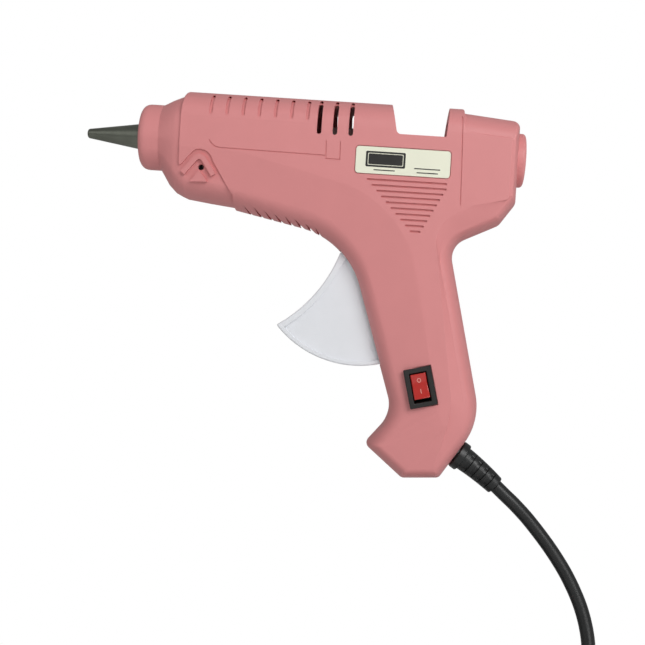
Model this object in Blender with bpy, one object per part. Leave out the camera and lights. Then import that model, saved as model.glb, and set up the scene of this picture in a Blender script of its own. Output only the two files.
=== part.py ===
"""Hot glue gun: two moulded half shells hold a heated barrel, a stick feed, a trigger and a mains lead.

Metres. X runs back along the gun, Y away from the label side, Z up. The origin is the middle of the
grip on the seam plane. The barrel's own frame has its axis along X, through AXIS_HEIGHT, and leans
by BARREL_TILT, so places in it are given as u along the axis and v above it.
"""

import math

import bmesh
import bpy
import numpy as np
from mathutils import Matrix, Vector

# Barrel
BARREL_TILT = math.radians(3.65)
AXIS_HEIGHT = 0.0650
BARREL_REACH = 0.0894
REAR_REACH = 0.0400
BARREL_TOP = 0.0184
BELLY_DEPTH = 0.0266
HALF_WIDTH = 0.0170
SHOULDER_SHARE = 0.87
COLLAR_RADIUS = 0.01275
COLLAR_LENGTH = 0.0084
CONE_LENGTH = 0.0091
CONE_REACH = BARREL_REACH + CONE_LENGTH
COLLAR_REACH = CONE_REACH + COLLAR_LENGTH

# Grip
GRIP_DROP = 0.06145
GRIP_DEPTH = 0.0330
GRIP_HALF_WIDTH = 0.0156

# Shell walls and fits
WALL = 0.0022
SEAM_GAP = 0.0003
SEAT_GAP = 0.0003
RUN_GAP = 0.0005
OVERRUN = 0.0040

# Edge rounding of the shells
TOP_ROUND = 0.0103
SHELF_ROUND = 0.0087
BELLY_ROUND = 0.0083
REAR_ROUND = 0.0030
RUMP_ROUND = 0.0040
BACK_ROUND = 0.0055
FRONT_ROUND = 0.0064
BASE_ROUND = 0.0050

# Stick path
GUIDE_RADIUS = 0.0063
GUIDE_WALL = 0.0020
INLET_RADIUS = 0.0105
INLET_REACH = 0.0026

# Notch over the stick
NOTCH_FRONT = 0.0101
NOTCH_FRONT_FOOT = 0.0075
NOTCH_BACK = 0.0124
NOTCH_BACK_FOOT = 0.0112
NOTCH_FLOOR = 0.0051
NOTCH_CORNER = 0.0018
ARCH_TOP = 0.0128
ARCH_HALF_WIDTH = 0.0070

# Vents
VENT_WIDTH = 0.0018
VENT_PITCH = 0.0060
VENT_FIRST = 0.0370
VENT_LOW = 0.0032
VENT_HIGH = 0.0152
VENT_COUNT = 3

# Shallow grooves: seven across the shoulder, and a triangle of them under the label
GROOVE_SINK = 0.0006
RIB_WIDTH = 0.0014
RIB_SET_BACK = 0.0112
RIB_TO_VENT = 0.0046
RIB_LOW = 0.0083
RIB_HIGH = 0.0163
RIB_COUNT = 7
RIB_FIRST = BARREL_REACH - RIB_SET_BACK
RIB_PITCH = (RIB_FIRST - VENT_FIRST - RIB_TO_VENT) / (RIB_COUNT - 1)
LINE_WIDTH = 0.0009
LINE_PITCH = 0.00207
LINE_TOP = 0.0127
LINE_FRONT = 0.0175
LINE_BACK = 0.0121
LINE_COUNT = 10

# Stand hole, and its place as shares of the barrel's reach and belly
STAND_HOLE_RADIUS = 0.0011
STAND_HOLE_SHARES = (-0.905, -0.451)

# Label
LABEL_FRONT = 0.0225
LABEL_BACK = 0.0133
LABEL_DROP = 0.0003
LABEL_HEIGHT = 0.0102
LABEL_THICK = 0.0004
LABEL_SINK = 0.0006

# Heater
NOZZLE_LENGTH = 0.0215
NOZZLE_TIP = COLLAR_REACH + NOZZLE_LENGTH
NOZZLE_TIP_RADIUS = 0.0019
NOZZLE_BASE_RADIUS = 0.0051
NOZZLE_BORE = 0.0011
NOZZLE_STUB = 0.0040
CHAMBER_SET_BACK = 0.0069
CHAMBER_FRONT = COLLAR_REACH - CHAMBER_SET_BACK
CHAMBER_BACK = 0.0640
CHAMBER_RADIUS = 0.0085
CHAMBER_NOSE = 0.0066
CHAMBER_MOUTH = 0.0030
CHAMBER_BORE = 0.0058
CHAMBER_THROAT = 0.0110
NECK_RADIUS = 0.0070
NECK_LENGTH = 0.0040
HEATER_SET_BACK = 0.0075
HEATER_SHARE = 0.842
HEATER_FRONT = CHAMBER_FRONT - HEATER_SET_BACK
HEATER_LENGTH = (HEATER_FRONT - CHAMBER_BACK) * HEATER_SHARE
HEATER_WIDTH = 0.0070
HEATER_THICK = 0.0024
PLATE_THICK = 0.0008
PLATE_TAB = 0.0030
POCKET_TOP = 0.0082
POCKET_WALL = 0.0012
CLIP_SET_BACK = 0.0064
CLIP_SHARE = 0.632
CLIP_THICK = 0.0008
CLIP_FRONT = BARREL_REACH - CLIP_SET_BACK
CLIP_WIDTH = (CLIP_FRONT - CHAMBER_BACK) * CLIP_SHARE
WASHER_RADIUS = 0.0102
WASHER_THICK = 0.0030
SLEEVE_BACK = 0.0470
SLEEVE_RADIUS = 0.0091
SLEEVE_BORE = 0.0061
SLEEVE_MOUTH = 0.0072
CLAMP_WIRE = 0.0006
RIB_PLACE = 0.0540
RIB_DROP = 0.0140

# Feed
FEED_STROKE = 0.0110
CARRIAGE_FRONT = 0.0330
CARRIAGE_LENGTH = 0.0140
CARRIAGE_WALL = 0.0022
WING_CLEAR = 0.0040
WING_THICK = 0.0024
WING_REACH = HALF_WIDTH - WING_CLEAR
RAIL_THICK = 0.0013
RAIL_BITE = 0.0012
RAIL_INNER = WING_REACH - RAIL_BITE
ARM_PIN_BACK = 0.0132
ARM_PIN_DROP = 0.0119
LINK_LENGTH = 0.0120
LINK_THICK = 0.0014
LINK_HALF_HEIGHT = 0.0026
LINK_SLACK = 0.0006
LUG_THICK = 0.0015
ARM_HALF_THICK = 0.0019
ARM_EYE = 0.0030
ARM_FOOT = 0.0040
JAW_EYE = 0.0024
JAW_REACH = 0.0053
JAW_RISE = 0.0050
JAW_SLOT = 0.0024
PIN_RADIUS = 0.0013

# Trigger
HINGE_X = -0.0214
HINGE_Z = 0.0232
TRIGGER_RADIUS = 0.0408
TRIGGER_TOP_REACH = 0.0082
TRIGGER_TOP_ANGLE = math.radians(158)
TRIGGER_TIP_ANGLE = math.radians(217.5)
TRIGGER_BACK_ANGLE = math.radians(300)
TRIGGER_CHEEK = 0.0096
TRIGGER_SINK = 0.0010
TRIGGER_RIM = HALF_WIDTH - TRIGGER_CHEEK
TRIGGER_WEB = TRIGGER_RIM - TRIGGER_SINK
TRIGGER_HUB = 0.0043
TRIGGER_HUB_HALF = TRIGGER_RIM + SEAT_GAP
RIM_BAND = 0.0023
FINGER_RADIUS = 0.0550
EAR_REACH = 0.0130
EAR_HALF_THICK = 0.0030
EAR_RADIUS = 0.0026
SLOT_GAP = 0.0006
PIVOT_RADIUS = 0.0016
PIVOT_SET_IN = 0.0068
PIVOT_REACH = HALF_WIDTH - PIVOT_SET_IN
PIVOT_BOSS = 0.0046

# Return spring, in the room between the trigger and the shoulder's wall
SPRING_ROOM = HALF_WIDTH * SHOULDER_SHARE - WALL - TRIGGER_RIM
SPRING_RADIUS = SPRING_ROOM * 0.424
SPRING_SIDE = TRIGGER_RIM + SPRING_ROOM * 0.597
SPRING_WIRE = 0.0007
SPRING_TURNS = 6
SPRING_LENGTH = 0.0200
SPRING_POST = 0.0011

# Screws
SCREW_RADIUS = 0.0014
SCREW_HEAD = 0.0026
SCREW_HEAD_THICK = 0.0018
SCREW_BOSS = 0.0034
SCREW_SINK = 0.0090
SCREW_BITE = 0.0080

# Switch
BEZEL_LONG = 0.0150
BEZEL_SHORT = 0.0105
BEZEL_THICK = 0.0018
BEZEL_X = 0.0016
BEZEL_Z = -0.0252
BEZEL_LEAN = math.radians(10.6)
SWITCH_BODY_LONG = 0.0128
SWITCH_BODY_SHORT = 0.0082
SWITCH_BODY_DEPTH = 0.0110
SWITCH_SINK = 0.0020
SWITCH_SEAT = HALF_WIDTH - SWITCH_SINK
ROCKER_LONG = 0.0096
ROCKER_SHORT = 0.0060
ROCKER_TILT = math.radians(10.0)
ROCKER_RISE = 0.0022
ROCKER_DIP = 0.0010
ROCKER_PIVOT = 0.0010
ROCKER_DEEP = 0.0030
SWITCH_WELL = 0.0060
BLADE_WIDTH = 0.0030
BLADE_THICK = 0.0006
BLADE_LENGTH = 0.0060
BLADE_SPREAD = 0.0032

# Leads
LEAD_RADIUS = 0.0008

# Mains lead
CORD_DIAMETER = 0.0055
CORD_POINTS = 30
END_POINTS = 14
EXIT_SHARE = 0.424
RELIEF_FLANGE = 0.0057
RELIEF_FLANGE_THICK = 0.0031
RELIEF_NECK = 0.0036
RELIEF_COLLAR = 0.0047
RELIEF_COLLAR_THICK = 0.0016
RELIEF_LENGTH = 0.0200
RELIEF_DROOP = math.radians(8.0)
RELIEF_ROOT_RADIUS = 0.0047
RELIEF_END_RADIUS = 0.0038
RELIEF_GROOVE = 0.0007
RELIEF_RINGS = 4
RELIEF_SIDES = 16
CLAMP_BACK = 0.0105
CLAMP_SPREAD = 0.0056
CLAMP_BOSS = 0.0028
CLAMP_WIDE = 0.0060
CLAMP_BAR = 0.0052
CLAMP_SCREW = 0.0010
CLAMP_HEAD = 0.0020
CLAMP_HEAD_THICK = 0.0013
CLAMP_SCREW_BITE = 0.0070

# Put-away length of the lead
SURFACE_DROP = 0.1550
COIL_X = 0.0180
COIL_OUTER = 0.0377
COIL_STEP = 0.0062
COIL_LAYER = 0.0061
COIL_ENTRY = math.radians(-50)
COIL_EXIT = math.radians(-90 - 5 * 360)
COIL_EASE = math.radians(17)
COIL_POINTS = 24
TIE_WIDTH = 0.0036
TIE_THICK = 0.0008
TIE_GAP = 0.0005

# Plug
PLUG_REACH = 0.0580
PLUG_LENGTH = 0.0340
PLUG_WIDTH = 0.0260
PLUG_THICK = 0.0130
PLUG_PIN_RADIUS = 0.0020
PLUG_PIN_LENGTH = 0.0190
PLUG_PIN_SPACING = 0.0190

# For what is printed
MILLIMETRES = 1000

COLOURS = {
    "pink_plastic": ((0.672, 0.258, 0.258), 0.48, 0.0),
    "white_plastic": ((0.76, 0.78, 0.80), 0.35, 0.0),
    "black_plastic": ((0.016, 0.016, 0.016), 0.40, 0.0),
    "red_plastic": ((0.50, 0.020, 0.016), 0.25, 0.0),
    "label_plastic": ((0.93, 0.93, 0.80), 0.35, 0.0),
    "nozzle_metal": ((0.36, 0.37, 0.33), 0.35, 1.0),
    "cast_metal": ((0.55, 0.55, 0.54), 0.45, 1.0),
    "steel": ((0.58, 0.58, 0.58), 0.30, 1.0),
    "brass": ((0.72, 0.52, 0.22), 0.30, 1.0),
    "ceramic": ((0.85, 0.83, 0.78), 0.50, 0.0),
    "silicone": ((0.55, 0.10, 0.05), 0.60, 0.0),
    "feed_plastic": ((0.80, 0.80, 0.76), 0.45, 0.0),
    "lead_cover": ((0.75, 0.72, 0.65), 0.50, 0.0),
    "cord_rubber": ((0.014, 0.015, 0.015), 0.38, 0.0),
}


# The barrel's frame

BARREL_FRAME = Matrix.Translation((0, 0, AXIS_HEIGHT)) @ Matrix.Rotation(BARREL_TILT, 4, "Y")


def along(u, v):
    """The seam-plane place u along the barrel's axis and v above it."""
    place = BARREL_FRAME @ Vector((u, 0, v))
    return place.x, place.z


def barrel_share(forward, height):
    """A place in the barrel's outline from shares of its reach and its height."""
    reach = REAR_REACH if forward > 0 else BARREL_REACH
    rise = BARREL_TOP if height > 0 else BELLY_DEPTH
    return along(forward * reach, height * rise)


def grip_share(back, height):
    """A place in the grip's outline from shares of its depth and its drop."""
    return back * GRIP_DEPTH, height * GRIP_DROP


# Materials and objects


def material(name):
    """The named material, made once."""
    made = bpy.data.materials.get(name)
    if made:
        return made
    colour, roughness, metallic = COLOURS[name]
    made = bpy.data.materials.new(name)
    made.use_nodes = True
    shader = made.node_tree.nodes["Principled BSDF"]
    shader.inputs["Base Color"].default_value = (*colour, 1)
    shader.inputs["Roughness"].default_value = roughness
    shader.inputs["Metallic"].default_value = metallic
    made.diffuse_color = (*colour, 1)
    return made


def body(name, bm):
    """An object from a closed bmesh, with its faces turned outwards."""
    bmesh.ops.recalc_face_normals(bm, faces=bm.faces)
    mesh = bpy.data.meshes.new(name)
    bm.to_mesh(mesh)
    bm.free()
    made = bpy.data.objects.new(name, mesh)
    bpy.context.scene.collection.objects.link(made)
    return made


def finish(made, kind, frame=None, smooth=35):
    """Gives a finished piece its material, its frame and soft shading."""
    made.data.materials.clear()
    made.data.materials.append(material(kind))
    if frame is not None:
        made.matrix_world = frame @ made.matrix_world
    if made.type == "MESH":
        made.data.shade_smooth()
        made.data.set_sharp_from_angle(angle=math.radians(smooth))
    return made


def combine(made, others, operation):
    """Joins or cuts a body with others, which are used up."""
    for other in others:
        step = made.modifiers.new(operation, "BOOLEAN")
        step.operation = operation
        step.solver = "EXACT"
        step.object = other
        bpy.context.view_layer.update()
        graph = bpy.context.evaluated_depsgraph_get()
        result = bpy.data.meshes.new_from_object(made.evaluated_get(graph))
        made.modifiers.clear()
        made.data = result
        bpy.data.objects.remove(other)
    return made


def join(made, others):
    """The union of a body and others."""
    return combine(made, others, "UNION")


def cut(made, others):
    """A body less the others."""
    return combine(made, others, "DIFFERENCE")


def tidy_mesh(made):
    """Dissolves the slivers that cuts leave on flat faces."""
    bm = bmesh.new()
    bm.from_mesh(made.data)
    bmesh.ops.remove_doubles(bm, verts=bm.verts, dist=SEAM_GAP / 30)
    bmesh.ops.dissolve_degenerate(bm, edges=bm.edges, dist=SEAM_GAP / 30)
    bmesh.ops.dissolve_limit(bm, angle_limit=math.radians(0.5), verts=bm.verts, edges=bm.edges)
    bmesh.ops.triangulate(bm, faces=bm.faces)
    bm.to_mesh(made.data)
    bm.free()
    return made


# Solids


def rings_body(name, rings):
    """A closed body through rings of equally many points, capped at both ends."""
    bm = bmesh.new()
    rows = [[bm.verts.new(point) for point in ring] for ring in rings]
    for near, far in zip(rows, rows[1:]):
        for i in range(len(near)):
            j = (i + 1) % len(near)
            bm.faces.new((near[i], near[j], far[j], far[i]))
    bm.faces.new(rows[0])
    bm.faces.new(reversed(rows[-1]))
    return body(name, bm)


def prism(name, outline, low, high):
    """A flat outline of x and z, carried along Y."""
    return rings_body(name, [[(x, y, z) for x, z in outline] for y in (low, high)])


def box(name, low, high):
    """A box between two corners."""
    outline = [(low[0], low[2]), (high[0], low[2]), (high[0], high[2]), (low[0], high[2])]
    return prism(name, outline, low[1], high[1])


def rod(name, start, end, radius, sides=20, end_radius=None):
    """A round rod, or a cone, between two points."""
    start = Vector(start)
    axis = Vector(end) - start
    turn = axis.to_track_quat("Z", "Y")
    radii = (radius, radius if end_radius is None else end_radius)
    rings = []
    for k, r in enumerate(radii):
        ring = []
        for i in range(sides):
            angle = math.tau * i / sides
            ring.append(start + axis * k + turn @ Vector((r * math.cos(angle), r * math.sin(angle), 0)))
        rings.append(ring)
    return rings_body(name, rings)


def turned(name, profile, sides=28):
    """A solid turned about X from places along it and their radii."""
    rings = []
    for x, r in profile:
        angles = [math.tau * i / sides for i in range(sides)]
        rings.append([(x, r * math.cos(a), r * math.sin(a)) for a in angles])
    return rings_body(name, rings)


def circle(x, z, radius, points=24, start=0.0, end=math.tau):
    """Places on a circle or an arc of the seam plane."""
    closed = math.isclose(end - start, math.tau)
    steps = points if closed else points - 1
    angles = [start + (end - start) * k / steps for k in range(points)]
    return [(x + radius * math.cos(a), z + radius * math.sin(a)) for a in angles]


def tube(name, points, radius, resolution=2):
    """A round wire through points, with closed ends."""
    curve = bpy.data.curves.new(name, "CURVE")
    curve.dimensions = "3D"
    spline = curve.splines.new("POLY")
    spline.points.add(len(points) - 1)
    for slot, point in zip(spline.points, points):
        slot.co = (*point, 1)
    curve.bevel_depth = radius
    curve.bevel_resolution = resolution
    curve.render_resolution_u = 0
    curve.use_fill_caps = True
    made = bpy.data.objects.new(name, curve)
    bpy.context.scene.collection.objects.link(made)
    return made


def smooth_path(points, count):
    """Evenly spaced points on the smooth curve through the given ones."""
    knots = [Vector(p) for p in points]
    knots = [knots[0] * 2 - knots[1], *knots, knots[-1] * 2 - knots[-2]]
    fine = []
    for a, b, c, d in zip(knots, knots[1:], knots[2:], knots[3:]):
        square, cube = a * 2 - b * 5 + c * 4 - d, b * 3 - a - c * 3 + d
        for k in range(20):
            t = k / 20
            fine.append((b * 2 + (c - a) * t + square * t**2 + cube * t**3) / 2)
    fine.append(knots[-2])
    steps = [0.0]
    for a, b in zip(fine, fine[1:]):
        steps.append(steps[-1] + (b - a).length)
    even = []
    for place in np.linspace(0, steps[-1], count):
        even.append([float(np.interp(place, steps, [p[axis] for p in fine])) for axis in range(3)])
    return even


# Outlines with round corners


def rounded(corners):
    """An outline from corners (x, z, radius, steps), each turned into an arc, or kept sharp at 0 steps."""
    outline = []
    for i, (x, z, radius, steps) in enumerate(corners):
        if not steps:
            outline.append((x, z))
            continue
        here = Vector((x, z))
        back = Vector(corners[i - 1][:2]) - here
        ahead = Vector(corners[(i + 1) % len(corners)][:2]) - here
        half = back.angle(ahead) / 2
        room = min(back.length, ahead.length) / 2.05
        radius = min(radius, room * math.tan(half))
        centre = here + (back.normalized() + ahead.normalized()).normalized() * (radius / math.sin(half))
        spoke = here + back.normalized() * (radius / math.tan(half)) - centre
        turn = math.pi - 2 * half
        if back.x * ahead.y - back.y * ahead.x > 0:
            turn = -turn
        for k in range(steps + 1):
            outline.append(tuple(centre + Matrix.Rotation(turn * k / steps, 2) @ spoke))
    return outline


def inset(corners, depths):
    """Corners of a clockwise outline with each side moved in by its own depth."""
    moved = []
    for i, (x, z, radius, steps) in enumerate(corners):
        here = Vector((x, z))
        back = (here - Vector(corners[i - 1][:2])).normalized()
        ahead = (Vector(corners[(i + 1) % len(corners)][:2]) - here).normalized()
        inward = [Vector((side.y, -side.x)) for side in (back, ahead)]
        cross = back.x * ahead.y - back.y * ahead.x
        near = here + inward[0] * depths[i - 1]
        gap = here + inward[1] * depths[i] - near
        place = near + back * ((gap.x * ahead.y - gap.y * ahead.x) / cross)
        mean = (depths[i - 1] + depths[i]) / 2
        fillet = radius + mean if cross > 0 else max(radius - mean, SEAM_GAP)
        moved.append((place.x, place.y, fillet, steps))
    return moved


def blend(first, second, share):
    """Corners part of the way from one outline to another."""
    return [
        (*(a + (b - a) * share for a, b in zip(one[:3], two[:3])), one[3])
        for one, two in zip(first, second)
    ]


# The gun's body

# Each corner: its place, its fillet as a share of the grip's depth, its arc steps, the rounding of the
# side that follows it, how far out the shoulder lies as a share of the width, and where the flat of the
# side panel has its corner, with that corner's fillet as a share of the grip's depth.
CORNER_SHARES = [
    ((barrel_share, -1, 1), 0.036, 2, TOP_ROUND, 0.994, (barrel_share, -1, 0.386), 0.02),
    ((barrel_share, 0.4475, 1), 0.018, 1, 0, 0.994, (barrel_share, 0.43, 0.386), 0.01),
    ((barrel_share, 0.4475, 0.908), 0.012, 1, SHELF_ROUND, 0.985, (barrel_share, 0.49, 0.380), 0.01),
    ((barrel_share, 1, 0.804), 0.090, 2, REAR_ROUND, 0.97, (barrel_share, 0.9, 0.330), 0.03),
    ((barrel_share, 1, -0.669), 0.090, 2, RUMP_ROUND, 0.96, (barrel_share, 0.9, -0.639), 0.04),
    ((barrel_share, 0.8575, -0.977), 0.121, 2, RUMP_ROUND, 0.90, (barrel_share, 0.560, -0.756), 0.24),
    ((grip_share, 0.4067, 0.4703), 0.242, 4, BACK_ROUND, SHOULDER_SHARE, (grip_share, 0.2080, 0.5900), 0.364),
    ((grip_share, 0.7721, -0.6420), 0.727, 4, BASE_ROUND, SHOULDER_SHARE, (grip_share, 0.4000, -0.4880), 0.18),
    ((grip_share, 0.2773, -1), 0.076, 2, BASE_ROUND, 0.83, (grip_share, 0.3697, -0.6396), 0.01),
    ((grip_share, -0.1667, -1), 0.091, 2, BASE_ROUND, 0.83, (grip_share, 0.3394, -0.6542), 0.01),
    ((grip_share, -0.6085, -0.7803), 0.067, 2, BASE_ROUND, 0.83, (grip_share, 0.3030, -0.6493), 0.01),
    ((grip_share, -0.2660, -0.6007), 0.627, 5, FRONT_ROUND, SHOULDER_SHARE, (grip_share, 0.2485, -0.5533), 0.09),
    ((grip_share, -0.8060, 0.5126), 1.000, 6, BELLY_ROUND, SHOULDER_SHARE, (grip_share, -0.1273, 0.7307), 1.32),
    ((barrel_share, -0.765, -1), 0.300, 2, BELLY_ROUND, SHOULDER_SHARE, (barrel_share, -0.7617, -0.184), 0.06),
    ((barrel_share, -1, -0.872), 0.036, 2, 0, SHOULDER_SHARE, (barrel_share, -1, -0.173), 0.02),
]
ROUNDING_STEPS = 4
INSIDE_ROUNDING_STEPS = 2

# The corners along the grip's front, where the body is nearly flat across the seam to this share of
# its width, round the trigger's slot.
FLAT_CORNERS = (11, 12)
FLAT_SHARE = 0.35


def body_rings(wall):
    """Half of the gun's body, from the seam out to the flat side panel, in by a wall."""
    inside = wall > GROOVE_SINK
    rounding_steps = INSIDE_ROUNDING_STEPS if inside else ROUNDING_STEPS
    outer, panel = [], []
    for (place, a, b), fillet, steps, _, _, (panel_place, c, d), panel_fillet in CORNER_SHARES:
        steps = (steps + 1) // 2 if inside else steps
        outer.append((*place(a, b), fillet * GRIP_DEPTH, steps))
        panel.append((*panel_place(c, d), panel_fillet * GRIP_DEPTH, steps))
    shoulder = inset(outer, [max(row[3], wall) for row in CORNER_SHARES])
    if wall:
        outer = inset(outer, [wall] * len(outer))
        panel = inset(panel, [0] * (len(panel) - 1) + [wall])
    widths, flats = [], []
    for i, (row, corner) in enumerate(zip(CORNER_SHARES, outer)):
        widths += [row[4] * HALF_WIDTH - wall] * (corner[3] + 1)
        flats += [FLAT_SHARE if i in FLAT_CORNERS else 0] * (corner[3] + 1)
    rings = [[(x, 0, z) for x, z in rounded(outer)]]
    for k in range(1, rounding_steps + 1):
        angle = math.pi / 2 * k / rounding_steps
        outline = rounded(blend(outer, shoulder, 1 - math.cos(angle)))
        shares = [flat + (1 - flat) * math.sin(angle) for flat in flats]
        rings.append([(x, w * share, z) for (x, z), w, share in zip(outline, widths, shares)])
    rings.append([(x, HALF_WIDTH - wall, z) for x, z in rounded(panel)])
    return rings


def narrowed(made):
    """Draws the body in towards the grip's base, below the foot of the barrel."""
    top = AXIS_HEIGHT - BELLY_DEPTH
    bm = bmesh.new()
    bm.from_mesh(made.data)
    geometry = bm.verts[:] + bm.edges[:] + bm.faces[:]
    bmesh.ops.bisect_plane(bm, geom=geometry, plane_co=(0, 0, top), plane_no=(0, 0, 1))
    for vert in bm.verts:
        share = min(max((top - vert.co.z) / (top + GRIP_DROP), 0), 1)
        vert.co.y *= 1 - share * (1 - GRIP_HALF_WIDTH / HALF_WIDTH)
    bm.to_mesh(made.data)
    bm.free()
    return made


def gun_body(name, wall):
    """The whole closed form of the body, both sides of the seam."""
    half = body_rings(wall)
    other = [[(x, -y, z) for x, y, z in ring] for ring in reversed(half[1:])]
    return narrowed(rings_body(name, other + half))


# Stations of the snout from the collar back: reach, top, bottom and half width as shares of the
# barrel's reach, top, belly and width, and how far the section has turned from round to the body's.
CONE_SHARES = [
    (-1.0593, 0.799, 0.703, 0.859, 0.45),
    (-1.0291, 0.859, 0.801, 0.924, 0.75),
    (-1.0022, 0.913, 0.846, 0.953, 0.95),
    (-0.9776, 0.951, 0.880, 0.959, 1.00),
    (-0.7600, 0.951, 0.966, 0.959, 1.00),
    (-0.6900, 0.951, 0.970, 0.959, 1.00),
]
COLLAR_EDGE_SHARES = [(0.0, 0.70), (0.04, 0.85), (0.14, 0.94), (0.30, 0.99), (0.46, 1.0)]


def snout_section(u, top, bottom, width, turned_share):
    """One section of the snout, from round to the body's own shape."""
    flat_top = CORNER_SHARES[0][5][2] * top
    flat_low = CORNER_SHARES[-1][5][2] * bottom
    shoulder = CORNER_SHARES[-1][4] * width
    shape, round_angles = [], []
    for k in range(5):
        angle = math.pi / 2 * k / 4
        rise = (top - flat_top) * math.cos(angle)
        shape.append((width * math.sin(angle), flat_top + rise))
        round_angles.append(math.radians(20 * k))
    shape.append((width, flat_low))
    round_angles.append(math.radians(100))
    low = bottom - min(BELLY_ROUND, bottom / 2)
    for k in range(5):
        angle = math.pi / 2 * k / 4
        shape.append((shoulder * math.cos(angle), -low - (bottom - low) * math.sin(angle)))
        round_angles.append(math.radians(116 + 16 * k))
    half = []
    for (y, v), angle in zip(shape, round_angles):
        height = top if math.cos(angle) > 0 else bottom
        plain = (width * math.sin(angle), height * math.cos(angle))
        half.append((plain[0] + (y - plain[0]) * turned_share, plain[1] + (v - plain[1]) * turned_share))
    ring = half + [(-y, v) for y, v in reversed(half[1:-1])]
    return [BARREL_FRAME @ Vector((u, y, v)) for y, v in ring]


def snout(name, wall):
    """The round collar, the cone behind it and the chin, in by a wall."""
    rings = []
    edge = COLLAR_REACH - CONE_REACH
    for back, share in COLLAR_EDGE_SHARES:
        r = COLLAR_RADIUS * share - wall
        rings.append(snout_section(-COLLAR_REACH + wall + back * edge, r, r, r, 0))
    r = COLLAR_RADIUS - wall
    rings.append(snout_section(-CONE_REACH + wall, r, r, r, 0))
    for reach, top, bottom, width, turned_share in CONE_SHARES:
        rings.append(
            snout_section(
                reach * BARREL_REACH + wall,
                top * BARREL_TOP - wall,
                bottom * BELLY_DEPTH - wall,
                width * HALF_WIDTH - wall,
                turned_share,
            )
        )
    return rings_body(name, rings)


# The hook line that ends the side panel over the stand hole, as shares of the barrel's reach and belly.
HOOK_SHARES = [
    (-1.03, -0.44),
    (-0.990, -0.425),
    (-0.945, -0.250),
    (-0.925, -0.205),
    (-0.905, -0.198),
    (-0.880, -0.225),
    (-0.862, -0.290),
    (-0.852, -0.370),
    (-0.766, -0.820),
    (-0.764, -1.35),
    (-1.03, -1.35),
]


def hook_cut():
    """What the side panel leaves open over the chin."""
    outline = [along(a * BARREL_REACH, b * BELLY_DEPTH) for a, b in HOOK_SHARES]
    return prism("hook_cut", outline, -HALF_WIDTH - OVERRUN, HALF_WIDTH + OVERRUN)


def notch(name, wall):
    """The open window over the stick, larger by a wall."""
    lean = (NOTCH_BACK - NOTCH_BACK_FOOT) / BARREL_TOP
    corners = [
        (*along(-NOTCH_FRONT - wall, BARREL_TOP + OVERRUN), 0, 0),
        (*along(NOTCH_BACK + lean * OVERRUN + wall, BARREL_TOP + OVERRUN), 0, 0),
        (*along(NOTCH_BACK_FOOT + wall, NOTCH_FLOOR - wall), 0, 0),
        (*along(-NOTCH_FRONT_FOOT - wall, NOTCH_FLOOR - wall), NOTCH_CORNER, 3),
        (*along(-NOTCH_FRONT - wall, BARREL_TOP), 0, 0),
    ]
    return prism(name, rounded(corners), -HALF_WIDTH - OVERRUN, HALF_WIDTH + OVERRUN)


def axis_rod(name, front, back, radius, sides=24):
    """A rod along the barrel's axis between two places."""
    ends = [BARREL_FRAME @ Vector((u, 0, 0)) for u in (front, back)]
    return rod(name, *ends, radius, sides)


def cross_rod(name, place, low, high, radius, sides=16):
    """A rod along Y at a place of the seam plane."""
    return rod(name, (place[0], low, place[1]), (place[0], high, place[1]), radius, sides)


def frame_box(name, frame, low, high):
    """A box in a frame of its own."""
    made = box(name, low, high)
    made.data.transform(frame)
    return made


# Where the body screws go: the left shell's bosses take the threads.
SCREW_PLACES = {
    "chin": barrel_share(-0.984, -0.684),
    "belly": barrel_share(-0.582, -0.902),
    "rump": barrel_share(0.700, -0.640),
    "roof": barrel_share(-0.559, 0.707),
    "grip": grip_share(0.318, 0.293),
    "heel": grip_share(-0.288, -0.8055),
}
SCREW_SEAT = HALF_WIDTH - SCREW_SINK


def sloping_face():
    """The frame of the mains lead's exit: X out of the sloping face at the back of the base."""
    low = Vector(grip_share(*CORNER_SHARES[8][0][1:]))
    high = Vector(grip_share(*CORNER_SHARES[7][0][1:]))
    place = low + (high - low) * EXIT_SHARE
    side = (high - low).normalized()
    out = Vector((side.y, 0, -side.x))
    turn = Matrix((out, (0, 1, 0), out.cross(Vector((0, 1, 0))))).transposed().to_4x4()
    return Matrix.Translation((place.x, 0, place.y)) @ turn


EXIT_FRAME = sloping_face()


def switch_frame():
    """The switch's frame on its pad: Z up the switch, Y into the grip, leaning with the grip."""
    turn = Matrix.Rotation(-BEZEL_LEAN, 4, "Y")
    return Matrix.Translation((BEZEL_X, -SWITCH_SEAT, BEZEL_Z)) @ turn


SWITCH_FRAME = switch_frame()


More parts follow.
